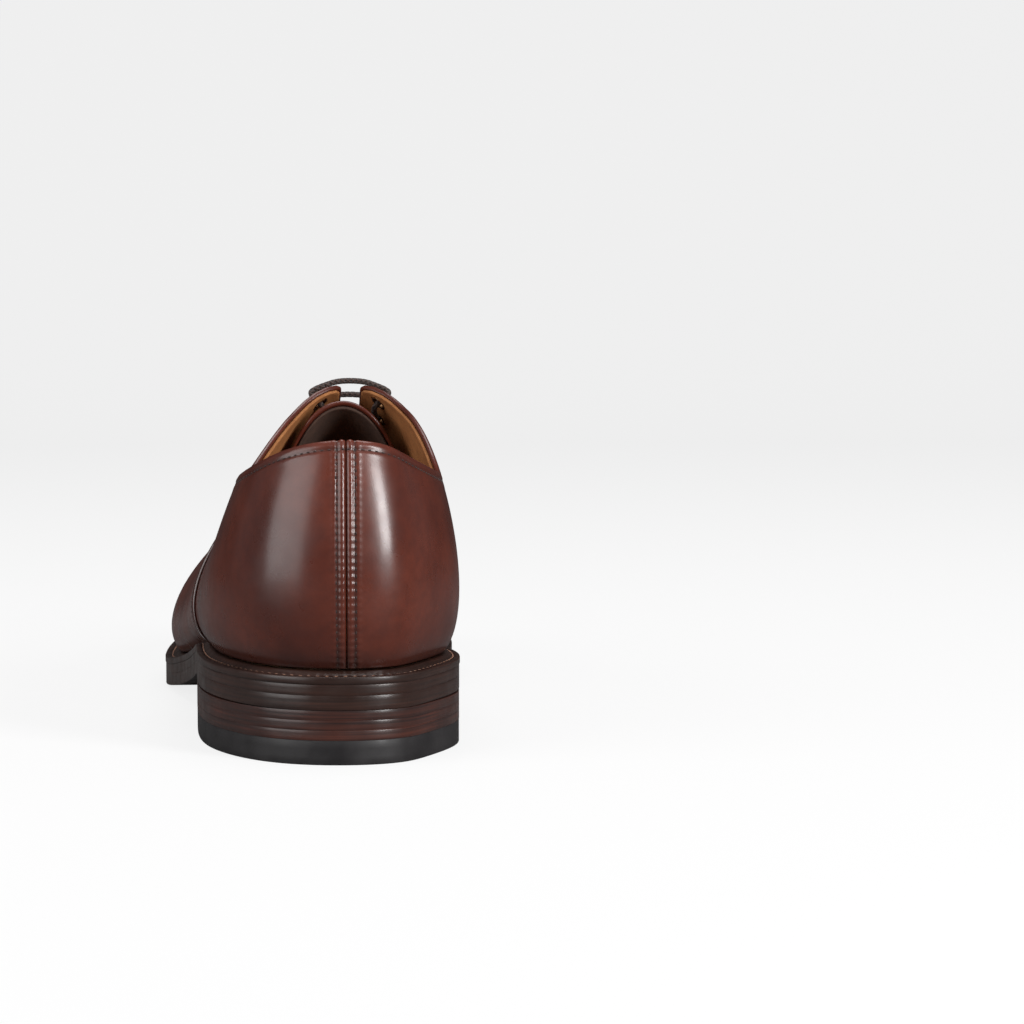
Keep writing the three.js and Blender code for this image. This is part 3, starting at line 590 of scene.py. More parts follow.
def lace_look():
    """Waxed round cotton: the braid's two sets of strands cross at a slant."""
    look = Look("lace_cotton", Roughness=0.55, Sheen_Weight=0.25)
    along, around = look.attribute("along_mm"), look.attribute("around")
    waves = []
    for turn in (1, -1):
        slant = look.math("ADD", look.math("MULTIPLY", along, 3.6), look.math("MULTIPLY", around, 3 * turn))
        waves.append(look.math("SINE", slant, 0.0))
    braid = look.math("MAXIMUM", waves[0], waves[1])
    # Painted shade: the braid's grooves between strands are darker and its crests lighter.
    look.color(look.mix(look.range(braid, -0.4, 1, 0, 1), (0.012, 0.006, 0.005), (0.055, 0.026, 0.018)))
    look.bump(braid, 0.7, 0.12)
    return look.material


def metal_look(name, color, roughness):
    look = Look(name, Metallic=1.0, Roughness=roughness)
    tone = look.range(look.noise(2, 4), 0.3, 0.7, 0, 1)
    look.color(look.mix(tone, tuple(c * 0.75 for c in color), color))
    look.roughness(look.range(look.noise(1.2, 4), 0.3, 0.7, roughness * 0.8, roughness * 1.3))
    look.bump(look.noise(0.6, 3), 0.08, 0.05)
    return look.material


def board_look(name, dark, light, size_mm):
    look = Look(name, Roughness=0.9)
    tone = look.range(look.noise(size_mm, 5, 0.7), 0.35, 0.65, 0, 1)
    look.color(look.mix(tone, dark, light))
    look.bump(look.noise(size_mm * 0.5, 4), 0.4, 0.15)
    return look.material


CALF = calf_look()
LINING_LOOK = lining_look("lining", (0.27, 0.095, 0.026), (0.46, 0.19, 0.062))
TONGUE_BACK = lining_look("tongue_back", (0.05, 0.026, 0.018), (0.1, 0.055, 0.038), 0.3)
SOCK_LOOK = lining_look("sock_leather", (0.2, 0.09, 0.036), (0.32, 0.16, 0.07), 0.2)
SOLE_EDGE = sole_edge_look("sole_leather", (0.022, 0.009, 0.006), (0.06, 0.022, 0.014))
LIFT_EDGE = sole_edge_look("lift_leather", (0.028, 0.012, 0.01), (0.11, 0.03, 0.018), lines=0.2)
RUBBER = rubber_look()
UPPER_THREAD = thread_look("upper_thread", (0.02, 0.008, 0.006), (0.05, 0.02, 0.014))
WELT_THREAD = thread_look("welt_thread", (0.2, 0.085, 0.05), (0.42, 0.21, 0.13))
LACE_LOOK = lace_look()
BRONZE = metal_look("eyelet_bronze", (0.32, 0.18, 0.09), 0.3)
STEEL = metal_look("steel", (0.5, 0.5, 0.52), 0.32)
BOARD = board_look("leather_board", (0.32, 0.22, 0.13), (0.5, 0.38, 0.24), 2)
CORK_LOOK = board_look("cork", (0.3, 0.17, 0.08), (0.58, 0.37, 0.2), 3)


# ---------- seams: lines on a grid, reliefs beside them and their stitches ----------
BACK_SEAM_HALF_GAP = 0.0016
HEEL_LINING_END, LINING_SEAM_GAP = rad(38), rad(0.5)
QUARTER_END = VAMP_SEAM_TOP + UNDERLAP - rad(1.5)
LINING_TOP = -(LEATHER + 0.06)
LINING_DEEP = -(LEATHER + STIFFENER + 2.5 * GAP)
BACK_PITCH = 2.0
EDGE_ROW, BACK_ROW, FRONT_ROWS = 2.1, 2.45, (1.7, 3.6)
UPPER_RISE, CAP_RISE = 62, 45
SIDES = ((-1, "lateral"), (1, "medial"))


def resampled(line, step):
    """Points, and anything stacked behind them, at even steps along a line."""
    run = run_along(line[:, :3])
    count = max(int(round(run[-1] / step)), 2)
    at = (np.arange(count) + 0.5) * run[-1] / count
    return np.stack([np.interp(at, run, column) for column in line.T], 1)


def run_along(points):
    return np.concatenate([[0], np.cumsum(np.linalg.norm(np.diff(points, axis=0), axis=1))])


def distance_to(points, line):
    """Distance from each point to the nearest point of a closely spaced line."""
    flat = points.reshape(-1, 3)
    best = np.full(len(flat), np.inf)
    for start in range(0, len(line), 32):
        gap = flat[:, None] - line[None, start:start + 32]
        best = np.minimum(best, np.sqrt((gap * gap).sum(2)).min(1))
    return best.reshape(points.shape[:-1])


def line_at(surface, normals, distance, wanted):
    """The line on a grid that lies at a wanted distance from the edge in its last column."""
    found = []
    for row, way, gap in zip(surface, normals, distance):
        back = gap[::-1]
        j = int(np.argmax(back >= wanted))
        if j == 0:
            continue
        t = (wanted - back[j - 1]) / (back[j] - back[j - 1])
        a, b = len(back) - j, len(back) - 1 - j
        found.append(np.concatenate([lerp(row[a], row[b], t), lerp(way[a], way[b], t)]))
    return np.array(found)


def sewn(name, line, material, pitch=2.0, length=1.35, radius=0.2):
    """A row of stitches along a line of points with their normals."""
    even = resampled(line, pitch)
    made = stitches(name, even[:, :3], even[:, 3:6], material, length, radius)
    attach(made, "shoe")


def folded_edge(distance, height=0.2, row=EDGE_ROW):
    """Swell of a turned edge, with the hollow that its row of stitches draws in."""
    swell = height * np.exp(-((distance - 0.45 * row) / (0.35 * row)) ** 2)
    hollow = -0.22 * np.exp(-((distance - row) / 0.34) ** 2)
    return swell + hollow + 0.07 * np.exp(-((distance - row - 1.2) / 0.7) ** 2)


def beside(distance, at, width):
    return np.exp(-((distance - at) / width) ** 2)


def stitched_row(distance, at, depth=0.16):
    return -depth * beside(distance, at, 0.36)


def back_seam_relief(across, run):
    """Butted edges at the back: a sunk seam between two rolls, each puffed between its stitches."""
    beat = 0.5 + 0.5 * np.cos(2 * PI * run / BACK_PITCH)
    seam = -0.45 * np.exp(-(across / 0.28) ** 2)
    roll = (0.2 + 0.2 * beat) * np.exp(-((across - 1.2) / 0.62) ** 2)
    row = -(0.16 + 0.2 * (1 - beat)) * np.exp(-((across - BACK_ROW) / 0.4) ** 2)
    beyond = (0.07 + 0.1 * beat) * np.exp(-((across - 3.35) / 0.7) ** 2)
    return seam + roll + row + beyond


def own(piece, nodes, body="shoe"):
    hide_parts(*nodes)
    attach(piece, body)


# ---------- quarters and their linings ----------
def side_grid(side, stations, rows, lowered=0.0):
    along = stations[:, None]
    top = quarter_top(side, stations, lowered)[:, None]
    low = under_vamp(stations, UNDERLAP)[:, None]
    height = lerp(low, top, np.linspace(0, 1, rows)[None])
    return side * along + 0 * height, height, top + 0 * height


def eyelet_frame(side, number):
    along = lerp(FIRST_EYELET, LAST_EYELET, number / (EYELET_COUNT - 1))
    height = float(height_near_spine(side * along, FACING_GAP / 2 + EYELET_FROM_EDGE))
    middle = upper(side * along, height)
    return side * along, height, middle, outward_from(side * along, height)


def last_eyelet():
    """Angle of the front pair: its flange stops short of the vamp's edge."""
    along = float(VAMP_SEAM_TOP)
    for _ in range(30):
        heights = [float(height_near_spine(s * along, FACING_GAP / 2 + EYELET_FROM_EDGE)) for s in (-1, 1)]
        before = 2.6 * EYELET_FLANGE / (0.57 * SOLE_LENGTH)
        along = lerp(along, float(vamp_seam(min(heights))) - before, 0.5)
    return along


EYELET_BORE, EYELET_FLANGE = 2.0, 3.2
HOLE_RADIUS = EYELET_BORE + 0.56
FIRST_EYELET = rad(73)
LAST_EYELET = last_eyelet()


def drill(obj, places, radius):
    """Cuts round holes of the given radius through a piece; places are (middle, direction) pairs."""
    verts, faces, around = [], [], 24
    for middle, direction in places:
        base = len(verts)
        turn = Vector(direction).to_track_quat("Z", "Y")
        for z in (-7, 7):
            for k in range(around):
                a = 2 * PI * k / around
                p = turn @ Vector((math.cos(a) * radius, math.sin(a) * radius, z))
                verts.append(np.array(middle) + np.array(p))
        for k in range(around):
            m = (k + 1) % around
            faces.append((base + k, base + m, base + around + m, base + around + k))
        faces.append(tuple(base + k for k in range(around))[::-1])
        faces.append(tuple(base + around + k for k in range(around)))
    cutter = face_outward(new_object("cutter", verts, faces, obj.data.materials[0]))
    cut = obj.modifiers.new("holes", "BOOLEAN")
    cut.object, cut.operation, cut.solver = cutter, "DIFFERENCE", "EXACT"
    depsgraph = bpy.context.evaluated_depsgraph_get()
    mesh = bpy.data.meshes.new_from_object(obj.evaluated_get(depsgraph))
    old = obj.data
    obj.modifiers.clear()
    obj.data = mesh
    bpy.data.meshes.remove(old)
    bpy.data.objects.remove(cutter)


def make_quarter(side, name):
    stations = np.concatenate([
        np.arange(BACK_SEAM_HALF_GAP, 0.15, 0.0064), np.linspace(0.153, QUARTER_END, 150)])
    angle, height, _ = side_grid(side, stations, 150)
    flat, normals = upper(angle, height), outward_from(angle, height)
    edge = resampled(flat[:, -1], 0.5)
    from_edge = distance_to(flat, edge)
    line = upper(0.0, np.linspace(0, 1, 400))
    seam_x = np.interp(height, np.linspace(0, 1, 400), line[:, 0])
    run = np.interp(height, np.linspace(0, 1, 400), run_along(line))
    across = np.abs(flat[..., 0] - seam_x)
    across = np.where(np.abs(angle) < 0.3, across, 30.0)
    relief = back_seam_relief(across, run) + folded_edge(from_edge)
    outer = flat + normals * relief[..., None]
    inner = flat - normals * LEATHER
    piece = shell(f"quarter_{name}_leather", outer, inner, CALF, soft_edge=0)
    # Painted shade: darker in the back seam's groove, along its stitch row, along the topline's stitch row
    # and near the feather line.
    dark = 0.3 * np.exp(-(across / 0.5) ** 2) + 0.7 * np.exp(-((across - BACK_ROW) / 0.45) ** 2)
    dark += 0.75 * np.exp(-(height * UPPER_RISE / 4) ** 2) + 0.55 * beside(from_edge, EDGE_ROW, 0.5)
    place_burnish_and_shade(piece, outer, dark)
    drill(piece, [eyelet_frame(side, i)[2:] for i in range(EYELET_COUNT)], HOLE_RADIUS)
    own(piece, [f"quarter_{name}"])
    row = line_at(outer, normals, from_edge, EDGE_ROW)
    sewn(f"topline_stitches_{name}", row, UPPER_THREAD)
    columns = np.arange(outer.shape[1] - 1)
    beyond = np.argmax(across[:, :-1] >= BACK_ROW, axis=0)
    row = np.concatenate([outer[beyond, columns], normals[beyond, columns]], 1)
    keep = from_edge[2, :-1] > 1.2
    sewn(f"back_stitches_{name}", row[keep], UPPER_THREAD, BACK_PITCH, 1.4, 0.2)


def place_burnish_and_shade(piece, outer, dark):
    """Writes the burnish and painted shade to the mesh's points from the nearest point of the outer grid."""
    flat = (outer.reshape(-1, 3) + SHIFT) * MM
    values = np.clip(dark, 0, 1).reshape(-1)
    tree = KDTree(len(flat))
    for i, p in enumerate(flat):
        tree.insert(p, i)
    tree.balance()
    found = [values[tree.find(v.co)[1]] for v in piece.data.vertices]
    layer = piece.data.attributes.new("burnish_and_shade", "FLOAT", "POINT")
    layer.data.foreach_set("value", np.array(found, np.float32))


def lining_depth(height, top):
    return lerp(LINING_DEEP, LINING_TOP, smooth(height, top - 0.16, top - 0.06))


def make_linings():
    for side, name in SIDES:
        stations = np.linspace(HEEL_LINING_END + 0.004, QUARTER_END, 110)
        angle, height, top = side_grid(side, stations, 60, lowered=0.009)
        forward = smooth(np.abs(angle), rad(58), rad(70))
        depth = lerp(lining_depth(height, top), LINING_TOP, forward)
        flat, normals = upper(angle, height), outward_from(angle, height)
        outer = flat + normals * depth[..., None]
        inner = flat + normals * (depth - LINING)[..., None]
        piece = shell(f"quarter_lining_{name}_leather", outer, inner, LINING_LOOK)
        drill(piece, [eyelet_frame(side, i)[2:] for i in range(EYELET_COUNT)], HOLE_RADIUS)
        own(piece, [f"quarter_lining_{name}"])
        seam = np.concatenate([inner[3, 4:-3], -normals[3, 4:-3]], 1)
        sewn(f"lining_seam_stitches_{name}", seam, LINING_THREAD, 2.2, 1.4, 0.2)
    stations = np.linspace(-HEEL_LINING_END, HEEL_LINING_END, 90)
    top = np.where(stations < 0, quarter_top(-1, np.abs(stations), 0.009),
                   quarter_top(1, np.abs(stations), 0.009))[:, None]
    height = top * np.linspace(0, 1, 60)[None]
    angle = stations[:, None] + 0 * height
    depth = lining_depth(height, top)
    flat, normals = upper(angle, height), outward_from(angle, height)
    piece = shell("heel_lining_leather", flat + normals * depth[..., None],
                  flat + normals * (depth - LINING)[..., None], LINING_LOOK)
    own(piece, ["heel_lining"])


# ---------- vamp and toe cap ----------
def across_shoe(steps):
    share = np.linspace(0, 1, 2 * steps + 1)
    return np.where(share < 0.5, -1.0, 1.0)[:, None], (1 - np.abs(2 * share - 1))[:, None]


def sewn_front(node, label, angle, height, blend, rise, under, low_rise, darker=0.0, closed_back=True):
    """Vamp or toe cap: a grid lifted over what it laps, with a folded edge and two rows of stitches."""
    flat, normals = upper(angle, height), outward_from(angle, height)
    from_edge = distance_to(flat, resampled(flat[:, -1], 0.5))
    away = smooth(from_edge, *blend)
    relief = lerp(*rise, away) + folded_edge(from_edge, 0.1, FRONT_ROWS[0])
    outer = flat + normals * (relief + stitched_row(from_edge, FRONT_ROWS[1]))[..., None]
    inner = flat + normals * lerp(*under, away)[..., None]
    piece = shell(f"{node}_leather", outer, inner, CALF, closed_back)
    # Burnish and painted shade along the cut edge, burnish at the toe tip, painted shade near the feather
    # line and in the first row's stitch hollow.
    dark = 0.8 * np.exp(-(from_edge / 1.4) ** 2) + 0.6 * np.exp(-(height * low_rise / 4.5) ** 2)
    place_burnish_and_shade(piece, outer, dark + darker + 0.5 * beside(from_edge, FRONT_ROWS[0], 0.5))
    own(piece, [node])
    for k, wanted in enumerate(FRONT_ROWS):
        sewn(f"{label}_stitches_{k + 1}", line_at(outer, normals, from_edge, wanted), UPPER_THREAD)


def make_vamp():
    side, height = across_shoe(110)
    share = 1 - np.linspace(0, 1, 135)[None] ** 0.8
    end = np.where(side < 0, cap_seam(-1, height), cap_seam(1, height)) + CAP_LAP
    angle = side * lerp(vamp_seam(height), end, share)
    height = height + 0 * angle
    sewn_front("vamp", "vamp", angle, height, (8, 28), (1.0, 0.45), (0.12, 0.45 - LEATHER), UPPER_RISE)


def make_toe_cap():
    side, height = across_shoe(110)
    share = 1 - np.linspace(0, 1, 70)[None] ** 0.85
    start = np.where(side < 0, cap_seam(-1, height), cap_seam(1, height))
    angle = side * lerp(start, PI, share)
    height = height + 0 * angle
    darker = 0.25 * smooth(np.abs(angle), rad(145), rad(178))
    sewn_front("toe_cap", "cap", angle, height, (6, 24), (1.35, 0.6), (0.5, 0.5 - LEATHER),
               CAP_RISE, darker, closed_back=False)


# ---------- tongue ----------
TONGUE_HALF_WIDTH, TONGUE_LEATHER = 17.0, 1.5
TONGUE_BASE, TONGUE_TIP, TONGUE_LEAN = 0.608 * SOLE_LENGTH, 0.362 * SOLE_LENGTH, -3.0
TONGUE_BASE_CLEARANCE, TONGUE_CLEARANCE = 3.3, 8.5
TONGUE_ARCH = 5e4 / BALL_WIDTH ** 3


def tongue_grids(depth, thickness, inset):
    across = np.linspace(-1, 1, 61)[:, None]
    t = np.linspace(0, 1, 130)[None]
    y = lerp(TONGUE_BASE - inset, TONGUE_TIP + inset + 9 * across ** 4, t)
    share = (TONGUE_BASE - y) / (TONGUE_BASE - TONGUE_TIP)
    x = across * (lerp(0.8, 1, smooth(share, 0, 0.5)) * TONGUE_HALF_WIDTH - inset)
    rest = lerp(TONGUE_BASE_CLEARANCE, TONGUE_CLEARANCE, smooth(share, 0, 0.25))
    clearance = lerp(rest, TONGUE_CLEARANCE - 0.7, smooth(share, 0.88, 1))
    arch = lerp(0.28 * TONGUE_ARCH, TONGUE_ARCH, smooth(share, 0, 0.4))
    steepness = np.hypot(1, 2 * arch * x)
    place = y / SOLE_LENGTH
    middle = np.stack([spine_x(place), y, INSTEP_HEIGHT * spine_height(place)], -1)
    up = np.stack([0 * y, -spine_slope(y), 1 + 0 * y], -1)
    up /= np.linalg.norm(up, axis=-1, keepdims=True)
    grids = []
    for extra in (0, thickness):
        drop = clearance + arch * x * x + steepness * (depth + extra)
        point = middle - up * drop[..., None]
        point[..., 0] += x + TONGUE_LEAN
        grids.append(point)
    return grids


def make_tongue():
    outer, inner = tongue_grids(0, TONGUE_LEATHER, 0)
    own(shell("tongue_leather", outer, inner, CALF), ["tongue"], "tongue")
    outer, inner = tongue_grids(TONGUE_LEATHER + 0.05, LINING, 0.8)
    own(shell("tongue_lining_leather", outer, inner, TONGUE_BACK), ["tongue_lining"], "tongue")


# ---------- eyelets and lace ----------
def make_eyelets():
    bore, seat, foot = EYELET_BORE, 0.06, -(LEATHER + GAP + LINING)
    profile = [
        (bore, foot), (bore, 0.1), (bore + 0.04, 0.45), (bore + 0.18, 0.72), (bore + 0.42, 0.86),
        (EYELET_FLANGE - 0.5, 0.84), (EYELET_FLANGE - 0.22, 0.7), (EYELET_FLANGE - 0.05, 0.48),
        (EYELET_FLANGE, 0.25), (EYELET_FLANGE - 0.06, seat), (bore + 0.5, seat), (bore + 0.5, foot)]
    around = 40
    for side, name in SIDES:
        for number in range(EYELET_COUNT):
            _, _, middle, direction = eyelet_frame(side, number)
            turn = np.array(Vector(direction).to_track_quat("Z", "Y").to_matrix())
            verts = []
            for k in range(around):
                a = 2 * PI * k / around
                for r, z in profile:
                    verts.append(middle + turn @ np.array([r * math.cos(a), r * math.sin(a), z]))
            faces = ring_faces(around, len(profile))
            ring = face_outward(new_object(f"eyelet_{name}_{number + 1}_ring", verts, faces, BRONZE))
            own(ring, [f"eyelet_{name}_{number + 1}"])


LACE_RADIUS = 0.9
LACE_OVER, LACE_UNDER = 1.3 + LACE_RADIUS, -(LEATHER + GAP + LINING + 0.5 + LACE_RADIUS)


def lace_route():
    def along(place, offset):
        return place[2] + place[3] * offset

    def tail(place, following):
        return lerp(along(place, LACE_UNDER), along(following, LACE_UNDER), 0.8)

    route = []
    for number in range(EYELET_COUNT - 1, -1, -1):
        side = -1 if (EYELET_COUNT - 1 - number) % 2 == 0 else 1
        start, end = eyelet_frame(side, number), eyelet_frame(-side, number)
        if number == EYELET_COUNT - 1:
            route.append(tail(start, eyelet_frame(side, number - 1)))
        route += [along(start, LACE_UNDER), along(start, -1), along(start, LACE_OVER)]
        for place, shares in ((start, (0.5, 0.8)), (end, (0.8, 0.5))):
            for share in shares:
                route.append(offset_point(place[0], lerp(place[1], 1, share), LACE_OVER))
        route += [along(end, LACE_OVER), along(end, -1), along(end, LACE_UNDER)]
        if number == 0:
            route.append(tail(end, eyelet_frame(-side, 1)))
    return np.array([np.asarray(p, float).reshape(3) for p in route])


def smooth_curve(points, step):
    """Centripetal Catmull-Rom curve through the points, at even steps."""
    first, last = 2 * points[0] - points[1], 2 * points[-1] - points[-2]
    p = np.concatenate([[first], points, [last]])
    out = []
    for i in range(1, len(p) - 2):
        gaps = [max(np.linalg.norm(p[i + k] - p[i + k - 1]) ** 0.5, 1e-4) for k in (0, 1, 2)]
        a, b, c = gaps
        m1 = (p[i] - p[i - 1]) / a - (p[i + 1] - p[i - 1]) / (a + b) + (p[i + 1] - p[i]) / b
        m2 = (p[i + 1] - p[i]) / b - (p[i + 2] - p[i]) / (b + c) + (p[i + 2] - p[i + 1]) / c
        m1, m2 = m1 * b, m2 * b
        t = np.linspace(0, 1, 40, endpoint=False)[:, None]
        out.append((2 * t ** 3 - 3 * t ** 2 + 1) * p[i] + (t ** 3 - 2 * t ** 2 + t) * m1
                   + (3 * t ** 2 - 2 * t ** 3) * p[i + 1] + (t ** 3 - t ** 2) * m2)
    line = np.concatenate(out + [[points[-1]]])
    run = run_along(line)
    at = np.linspace(0, run[-1], int(run[-1] / step))
    return np.stack([np.interp(at, run, column) for column in line.T], 1), at


def make_lace():
    line, run = smooth_curve(lace_route(), 0.22)
    around = 20
    tangent = np.gradient(line, axis=0)
    tangent /= np.linalg.norm(tangent, axis=1, keepdims=True)
    side = np.cross(tangent[0], (1.0, 0, 0))
    verts, turns = [], 2 * PI * np.arange(around) / around
    for p, t, s in zip(line, tangent, run):
        side = side - t * np.dot(side, t)
        side /= np.linalg.norm(side)
        other = np.cross(t, side)
        braid = np.maximum(np.sin(3.6 * s + 3 * turns), np.sin(3.6 * s - 3 * turns))
        radius = LACE_RADIUS * (0.95 + 0.07 * braid)[:, None]
        verts.append(p + radius * (np.cos(turns)[:, None] * side + np.sin(turns)[:, None] * other))
    index = np.arange(len(line) * around).reshape(-1, around)
    closed = np.concatenate([index, index[:, :1]], 1)
    quads = np.stack([closed[:-1, :-1], closed[:-1, 1:], closed[1:, 1:], closed[1:, :-1]], -1)
    faces = quads.reshape(-1, 4).tolist() + [tuple(index[0][::-1]), tuple(index[-1])]
    lace = new_object("lace_braid", np.concatenate(verts), faces, LACE_LOOK)
    for key, values in (("along_mm", np.repeat(run, around)), ("around", np.tile(turns, len(line)))):
        layer = lace.data.attributes.new(key, "FLOAT", "POINT")
        layer.data.foreach_set("value", values.astype(np.float32))
    face_outward(lace)
    own(lace, ["lace"])
    print("lace length, mm:", round(float(run[-1]), 1))


# ---------- welt, soles and heel ----------
WELT_PITCH = 2.6


def make_welt():
    angles = np.linspace(-PI, PI, 1500, endpoint=False)
    profile = [
        (0.32, 0, 0), (0.1, 0, 0.09), (0, 0, 0.32), (0, 0, 1.8), (0.09, 0, 2.06), (0.36, 0, 2.2),
        (0.7, 0.05, 2.22), (0.6, 0.24, 2.24), (0.4, 0.32, 2.1), (0.2, 0.4, 1.98), (0.1, 0.5, 2.12),
        (0, 0.6, 2.46), (0, 0.72, 2.95), (0, 0.86, 3.38), (0, 1, 3.4), (WELT_UNDER_UPPER, 1, 3.4),
        (WELT_UNDER_UPPER, 1, 0)]
    run = run_along(outline(angles, 0))

    def at(angle, corner):
        edge, share, rise = corner
        p = outline(angle, edge + share * margin(angle))
        beat = 0.07 * np.cos(2 * PI * run / WELT_PITCH) * (0.2 < share < 0.62)
        return np.concatenate([p, (underside(p[:, 1]) + SOLE_STACK + rise + beat)[:, None]], 1)

    own(ring_body("welt_leather", angles, profile, at, SOLE_EDGE), ["welt"])
    thread = outline(angles, 0.2 + 0.42 * margin(angles))
    thread = np.concatenate([thread, (underside(thread[:, 1]) + SOLE_STACK + 2.02)[:, None]], 1)
    upward = np.tile([0, 0, 1.0], (len(thread), 1))
    sewn("welt_stitches", np.concatenate([thread, upward], 1), WELT_THREAD, WELT_PITCH, 1.9, 0.3)


def slab(name, loops, heights, material, pairs):
    """A closed layer whose side is a stack of loops; its two faces are bridged across the shoe."""
    count, around = len(loops), len(loops[0])
    verts = np.concatenate([np.concatenate([p, z[:, None]], 1) for p, z in zip(loops, heights)])
    faces = []
    for k in range(count - 1):
        for i in range(around):
            j = (i + 1) % around
            faces.append((k * around + i, k * around + j, (k + 1) * around + j, (k + 1) * around + i))
    for base in (0, (count - 1) * around):
        if not pairs:
            faces.append(tuple(base + i for i in range(around)))
            continue
        half = around // 2
        for i in range(half):
            a, b = i, i + 1
            corners = [base + a, base + (around - a) % around, base + (around - b) % around, base + b]
            faces.append(tuple(dict.fromkeys(corners)))
    return face_outward(new_object(name, verts, faces, material))


def rounded_levels(low, high, edge):
    """(inset, height) steps of a side wall with both of its edges rounded."""
    low_part = [(edge, low), (edge * 0.3, low + edge * 0.3), (0, low + edge)]
    middle = [(0, lerp(low + edge, high - edge, t)) for t in (0.33, 0.67)]
    high_part = [(0, high - edge), (edge * 0.3, high - edge * 0.3), (edge, high)]
    return low_part + middle + high_part


def sole_layer(name, inset, low, high, material, edge=0.25, around=1000):
    angles = np.linspace(-PI, PI, around, endpoint=False)
    base = inset(angles) if callable(inset) else inset
    loops = [outline(angles, base + e) for e, _ in rounded_levels(low, high, edge)]
    heights = [underside(p[:, 1]) + z for p, (_, z) in zip(loops, rounded_levels(low, high, edge))]
    return slab(name, loops, heights, material, True)


NAILS = ((0, 14), (-18, 27), (18, 27), (-20, 55), (20, 55))


def heel_loop(inset):
    corner = float(angle_at(HEEL_BREAST / SOLE_LENGTH))
    back = outline(np.linspace(-corner, corner, 320), inset)
    t = np.linspace(0, 1, 50)[1:-1, None]
    breast = lerp(back[-1], back[0], t) - np.array([0, 1]) * 12 * t * (1 - t)
    loop = np.concatenate([back, breast])
    loop[:, 1] = np.minimum(loop[:, 1], HEEL_BREAST - inset)
    return loop


def heel_layer(name, inset, low, high, material, edge):
    levels = rounded_levels(low, high, edge)
    loops = [heel_loop(inset + e) for e, _ in levels]
    heights = [np.full(len(p), z) for p, (_, z) in zip(loops, levels)]
    piece = slab(name, loops, heights, material, False)
    places = [((x, y, (low + high) / 2), (0, 0, 1)) for x, y in NAILS]
    drill(piece, places, 1.25)
    return piece


def make_soles():
    own(sole_layer("midsole_layer", 0.2, OUTSOLE, SOLE_STACK, SOLE_EDGE, 0.05), ["midsole"])
    own(sole_layer("outsole_layer", 0.2, 0.0, OUTSOLE, SOLE_EDGE, 0.06), ["outsole"])
    cavity_floor = SOLE_STACK + 2 + 3 + 2 * GAP
    own(sole_layer("sock_liner_leather", lambda a: margin(a) + 5.3, cavity_floor - 0.3,
                   cavity_floor + 0.6, SOCK_LOOK, 0.3), ["sock_liner"])
    lift = (HEEL_HEIGHT - TOP_LIFT) / LIFT_COUNT
    for i in range(LIFT_COUNT):
        low = TOP_LIFT + i * lift
        piece = heel_layer(f"heel_lift_{i + 1}_leather", 0.25, low, low + lift, LIFT_EDGE, 0.05)
        own(piece, [f"heel_lift_{i + 1}"])
    own(heel_layer("top_lift_rubber", 0.3, 0, TOP_LIFT, RUBBER, 0.2), ["top_lift"])


LINING_THREAD = thread_look("lining_thread", (0.2, 0.08, 0.03), (0.4, 0.18, 0.07))
for _side, _name in SIDES:
    make_quarter(_side, _name)
make_linings()
make_vamp()
make_toe_cap()
make_tongue()
make_eyelets()
make_lace()
make_welt()
make_soles()

CARRIED_OVER = {
    "heel_counter": BOARD, "toe_puff": BOARD, "vamp_lining": LINING_LOOK, "insole": BOARD,
    "cork_filler": CORK_LOOK, "shank": STEEL, "seat_filler": BOARD}
CARRIED_OVER.update({f"heel_nail_{i + 1}": STEEL for i in range(len(NAILS))})
for _node, _look in CARRIED_OVER.items():
    for _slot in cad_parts[_node].material_slots:
        _slot.material = _look


# ---------- floor, light and camera ----------
BACKDROP = (0.93, 0.93, 0.93)
SHADOW_TONE = 0.16
FLOOR_LIFT = 0.88


def seen_directly(tree):
    return tree.nodes.new("ShaderNodeLightPath").outputs["Is Camera Ray"]


def floor_look():
    """Pale matt floor, lifted for the camera so that it meets the backdrop without a line."""
    look = Look("floor_white", Roughness=0.95, Specular_IOR_Level=0.1)
    look.shader.inputs["Base Color"].default_value = (SHADOW_TONE, SHADOW_TONE, SHADOW_TONE, 1)
    look.shader.inputs["Emission Color"].default_value = (*BACKDROP, 1)
    lift = look.math("MULTIPLY", seen_directly(look.tree), FLOOR_LIFT)
    look.join(lift, look.shader.inputs["Emission Strength"])
    return look.material


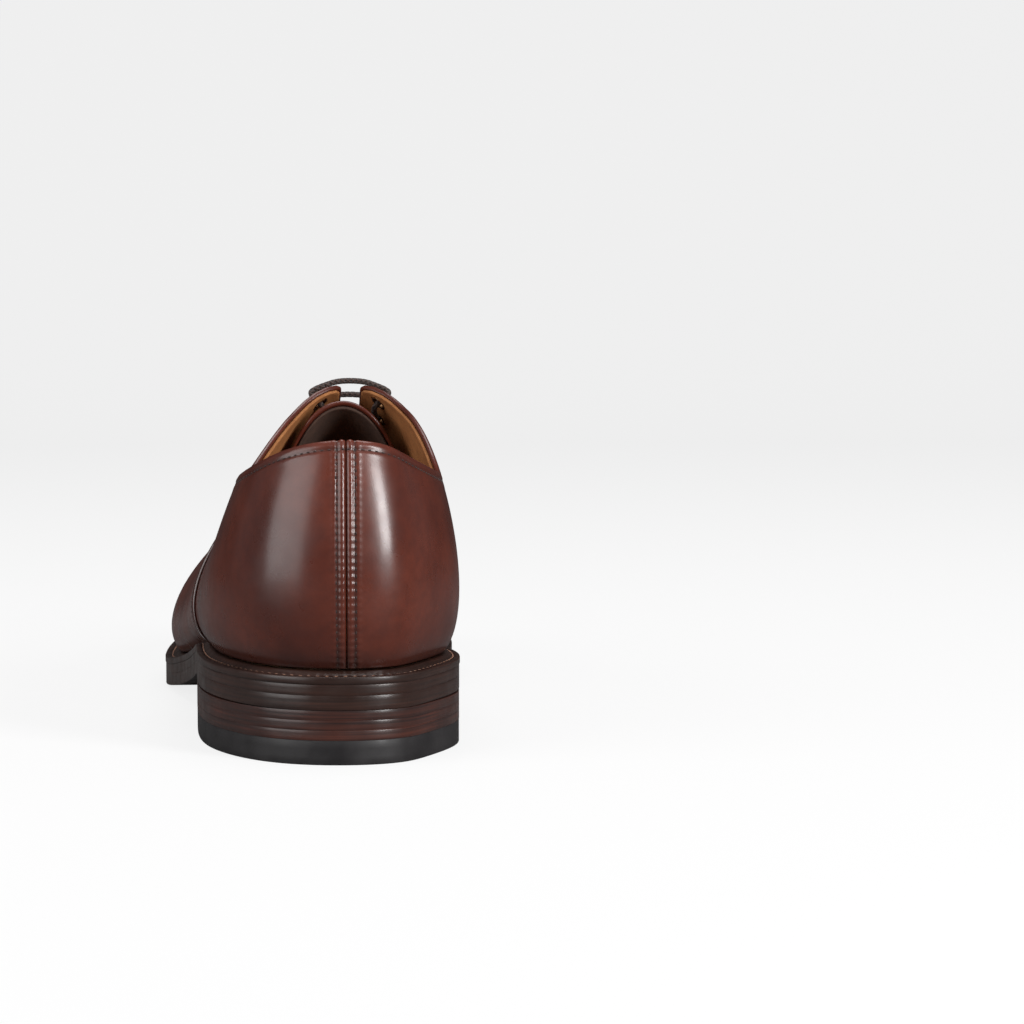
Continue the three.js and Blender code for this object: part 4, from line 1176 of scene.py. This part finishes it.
def make_floor():
    half, near = 3.0, -2.5
    verts, faces = [], []
    path = [(near, 0.0), (2.0, 0.0)]
    path += [(2.0 + math.sin(a) * 0.8, 0.8 - math.cos(a) * 0.8) for a in np.linspace(0.1, PI / 2, 12)]
    path.append((2.8, 4.0))
    for y, z in path:
        verts += [(-half, y, z), (half, y, z)]
    for i in range(len(path) - 1):
        faces.append((2 * i, 2 * i + 1, 2 * i + 3, 2 * i + 2))
    mesh = bpy.data.meshes.new("floor")
    mesh.from_pydata(verts, [], faces)
    mesh.polygons.foreach_set("use_smooth", [True] * len(mesh.polygons))
    floor = bpy.data.objects.new("floor", mesh)
    bpy.context.scene.collection.objects.link(floor)
    floor.data.materials.append(floor_look())


def softbox(name, place, aim, size, power):
    light = bpy.data.lights.new(name, "AREA")
    light.shape = "RECTANGLE"
    light.size, light.size_y = size
    light.energy = power
    obj = bpy.data.objects.new(name, light)
    obj.location = place
    obj.rotation_euler = (Vector(aim) - Vector(place)).to_track_quat("-Z", "Y").to_euler()
    bpy.context.scene.collection.objects.link(obj)


# Place from the shoe's own origin, in millimetres, and a heading a little toward the medial side.
CAMERA_PLACE = np.array([-21.2, -800, 120.8])
CAMERA_HEADING, CAMERA_PITCH, CAMERA_LENS = (0.085, 0.996), rad(3.68), 103.7


def make_studio():
    scene = bpy.context.scene
    scene.view_settings.view_transform = "Standard"
    scene.view_settings.look = "None"
    world = bpy.data.worlds.new("studio")
    world.use_nodes = True
    tree = world.node_tree
    tone = tree.nodes.new("ShaderNodeMix")
    tone.data_type = "RGBA"
    tree.links.new(seen_directly(tree), tone.inputs["Factor"])
    tone.inputs[6].default_value = (0.13, 0.13, 0.135, 1)
    tone.inputs[7].default_value = (*BACKDROP, 1)
    tree.links.new(tone.outputs[2], tree.nodes["Background"].inputs["Color"])
    scene.world = world
    softbox("left_box", (-1.2, -0.7, 0.55), (0, -0.1, 0.06), (1.2, 1.2), 11)
    softbox("top_box", (0.1, 0.0, 1.5), (0, 0, 0.03), (1.0, 1.0), 10)
    softbox("right_box", (0.95, -1.05, 0.6), (0.02, -0.12, 0.06), (0.4, 0.8), 17)
    camera = bpy.data.cameras.new("camera")
    camera.sensor_width = 36
    camera.lens = CAMERA_LENS
    obj = bpy.data.objects.new("camera", camera)
    obj.location = (SHIFT + CAMERA_PLACE) * MM
    flat, down = math.cos(CAMERA_PITCH), math.sin(CAMERA_PITCH)
    ahead = Vector((CAMERA_HEADING[0] * flat, CAMERA_HEADING[1] * flat, -down))
    obj.rotation_euler = ahead.to_track_quat("-Z", "Y").to_euler()
    scene.collection.objects.link(obj)
    scene.camera = obj


make_floor()
make_studio()
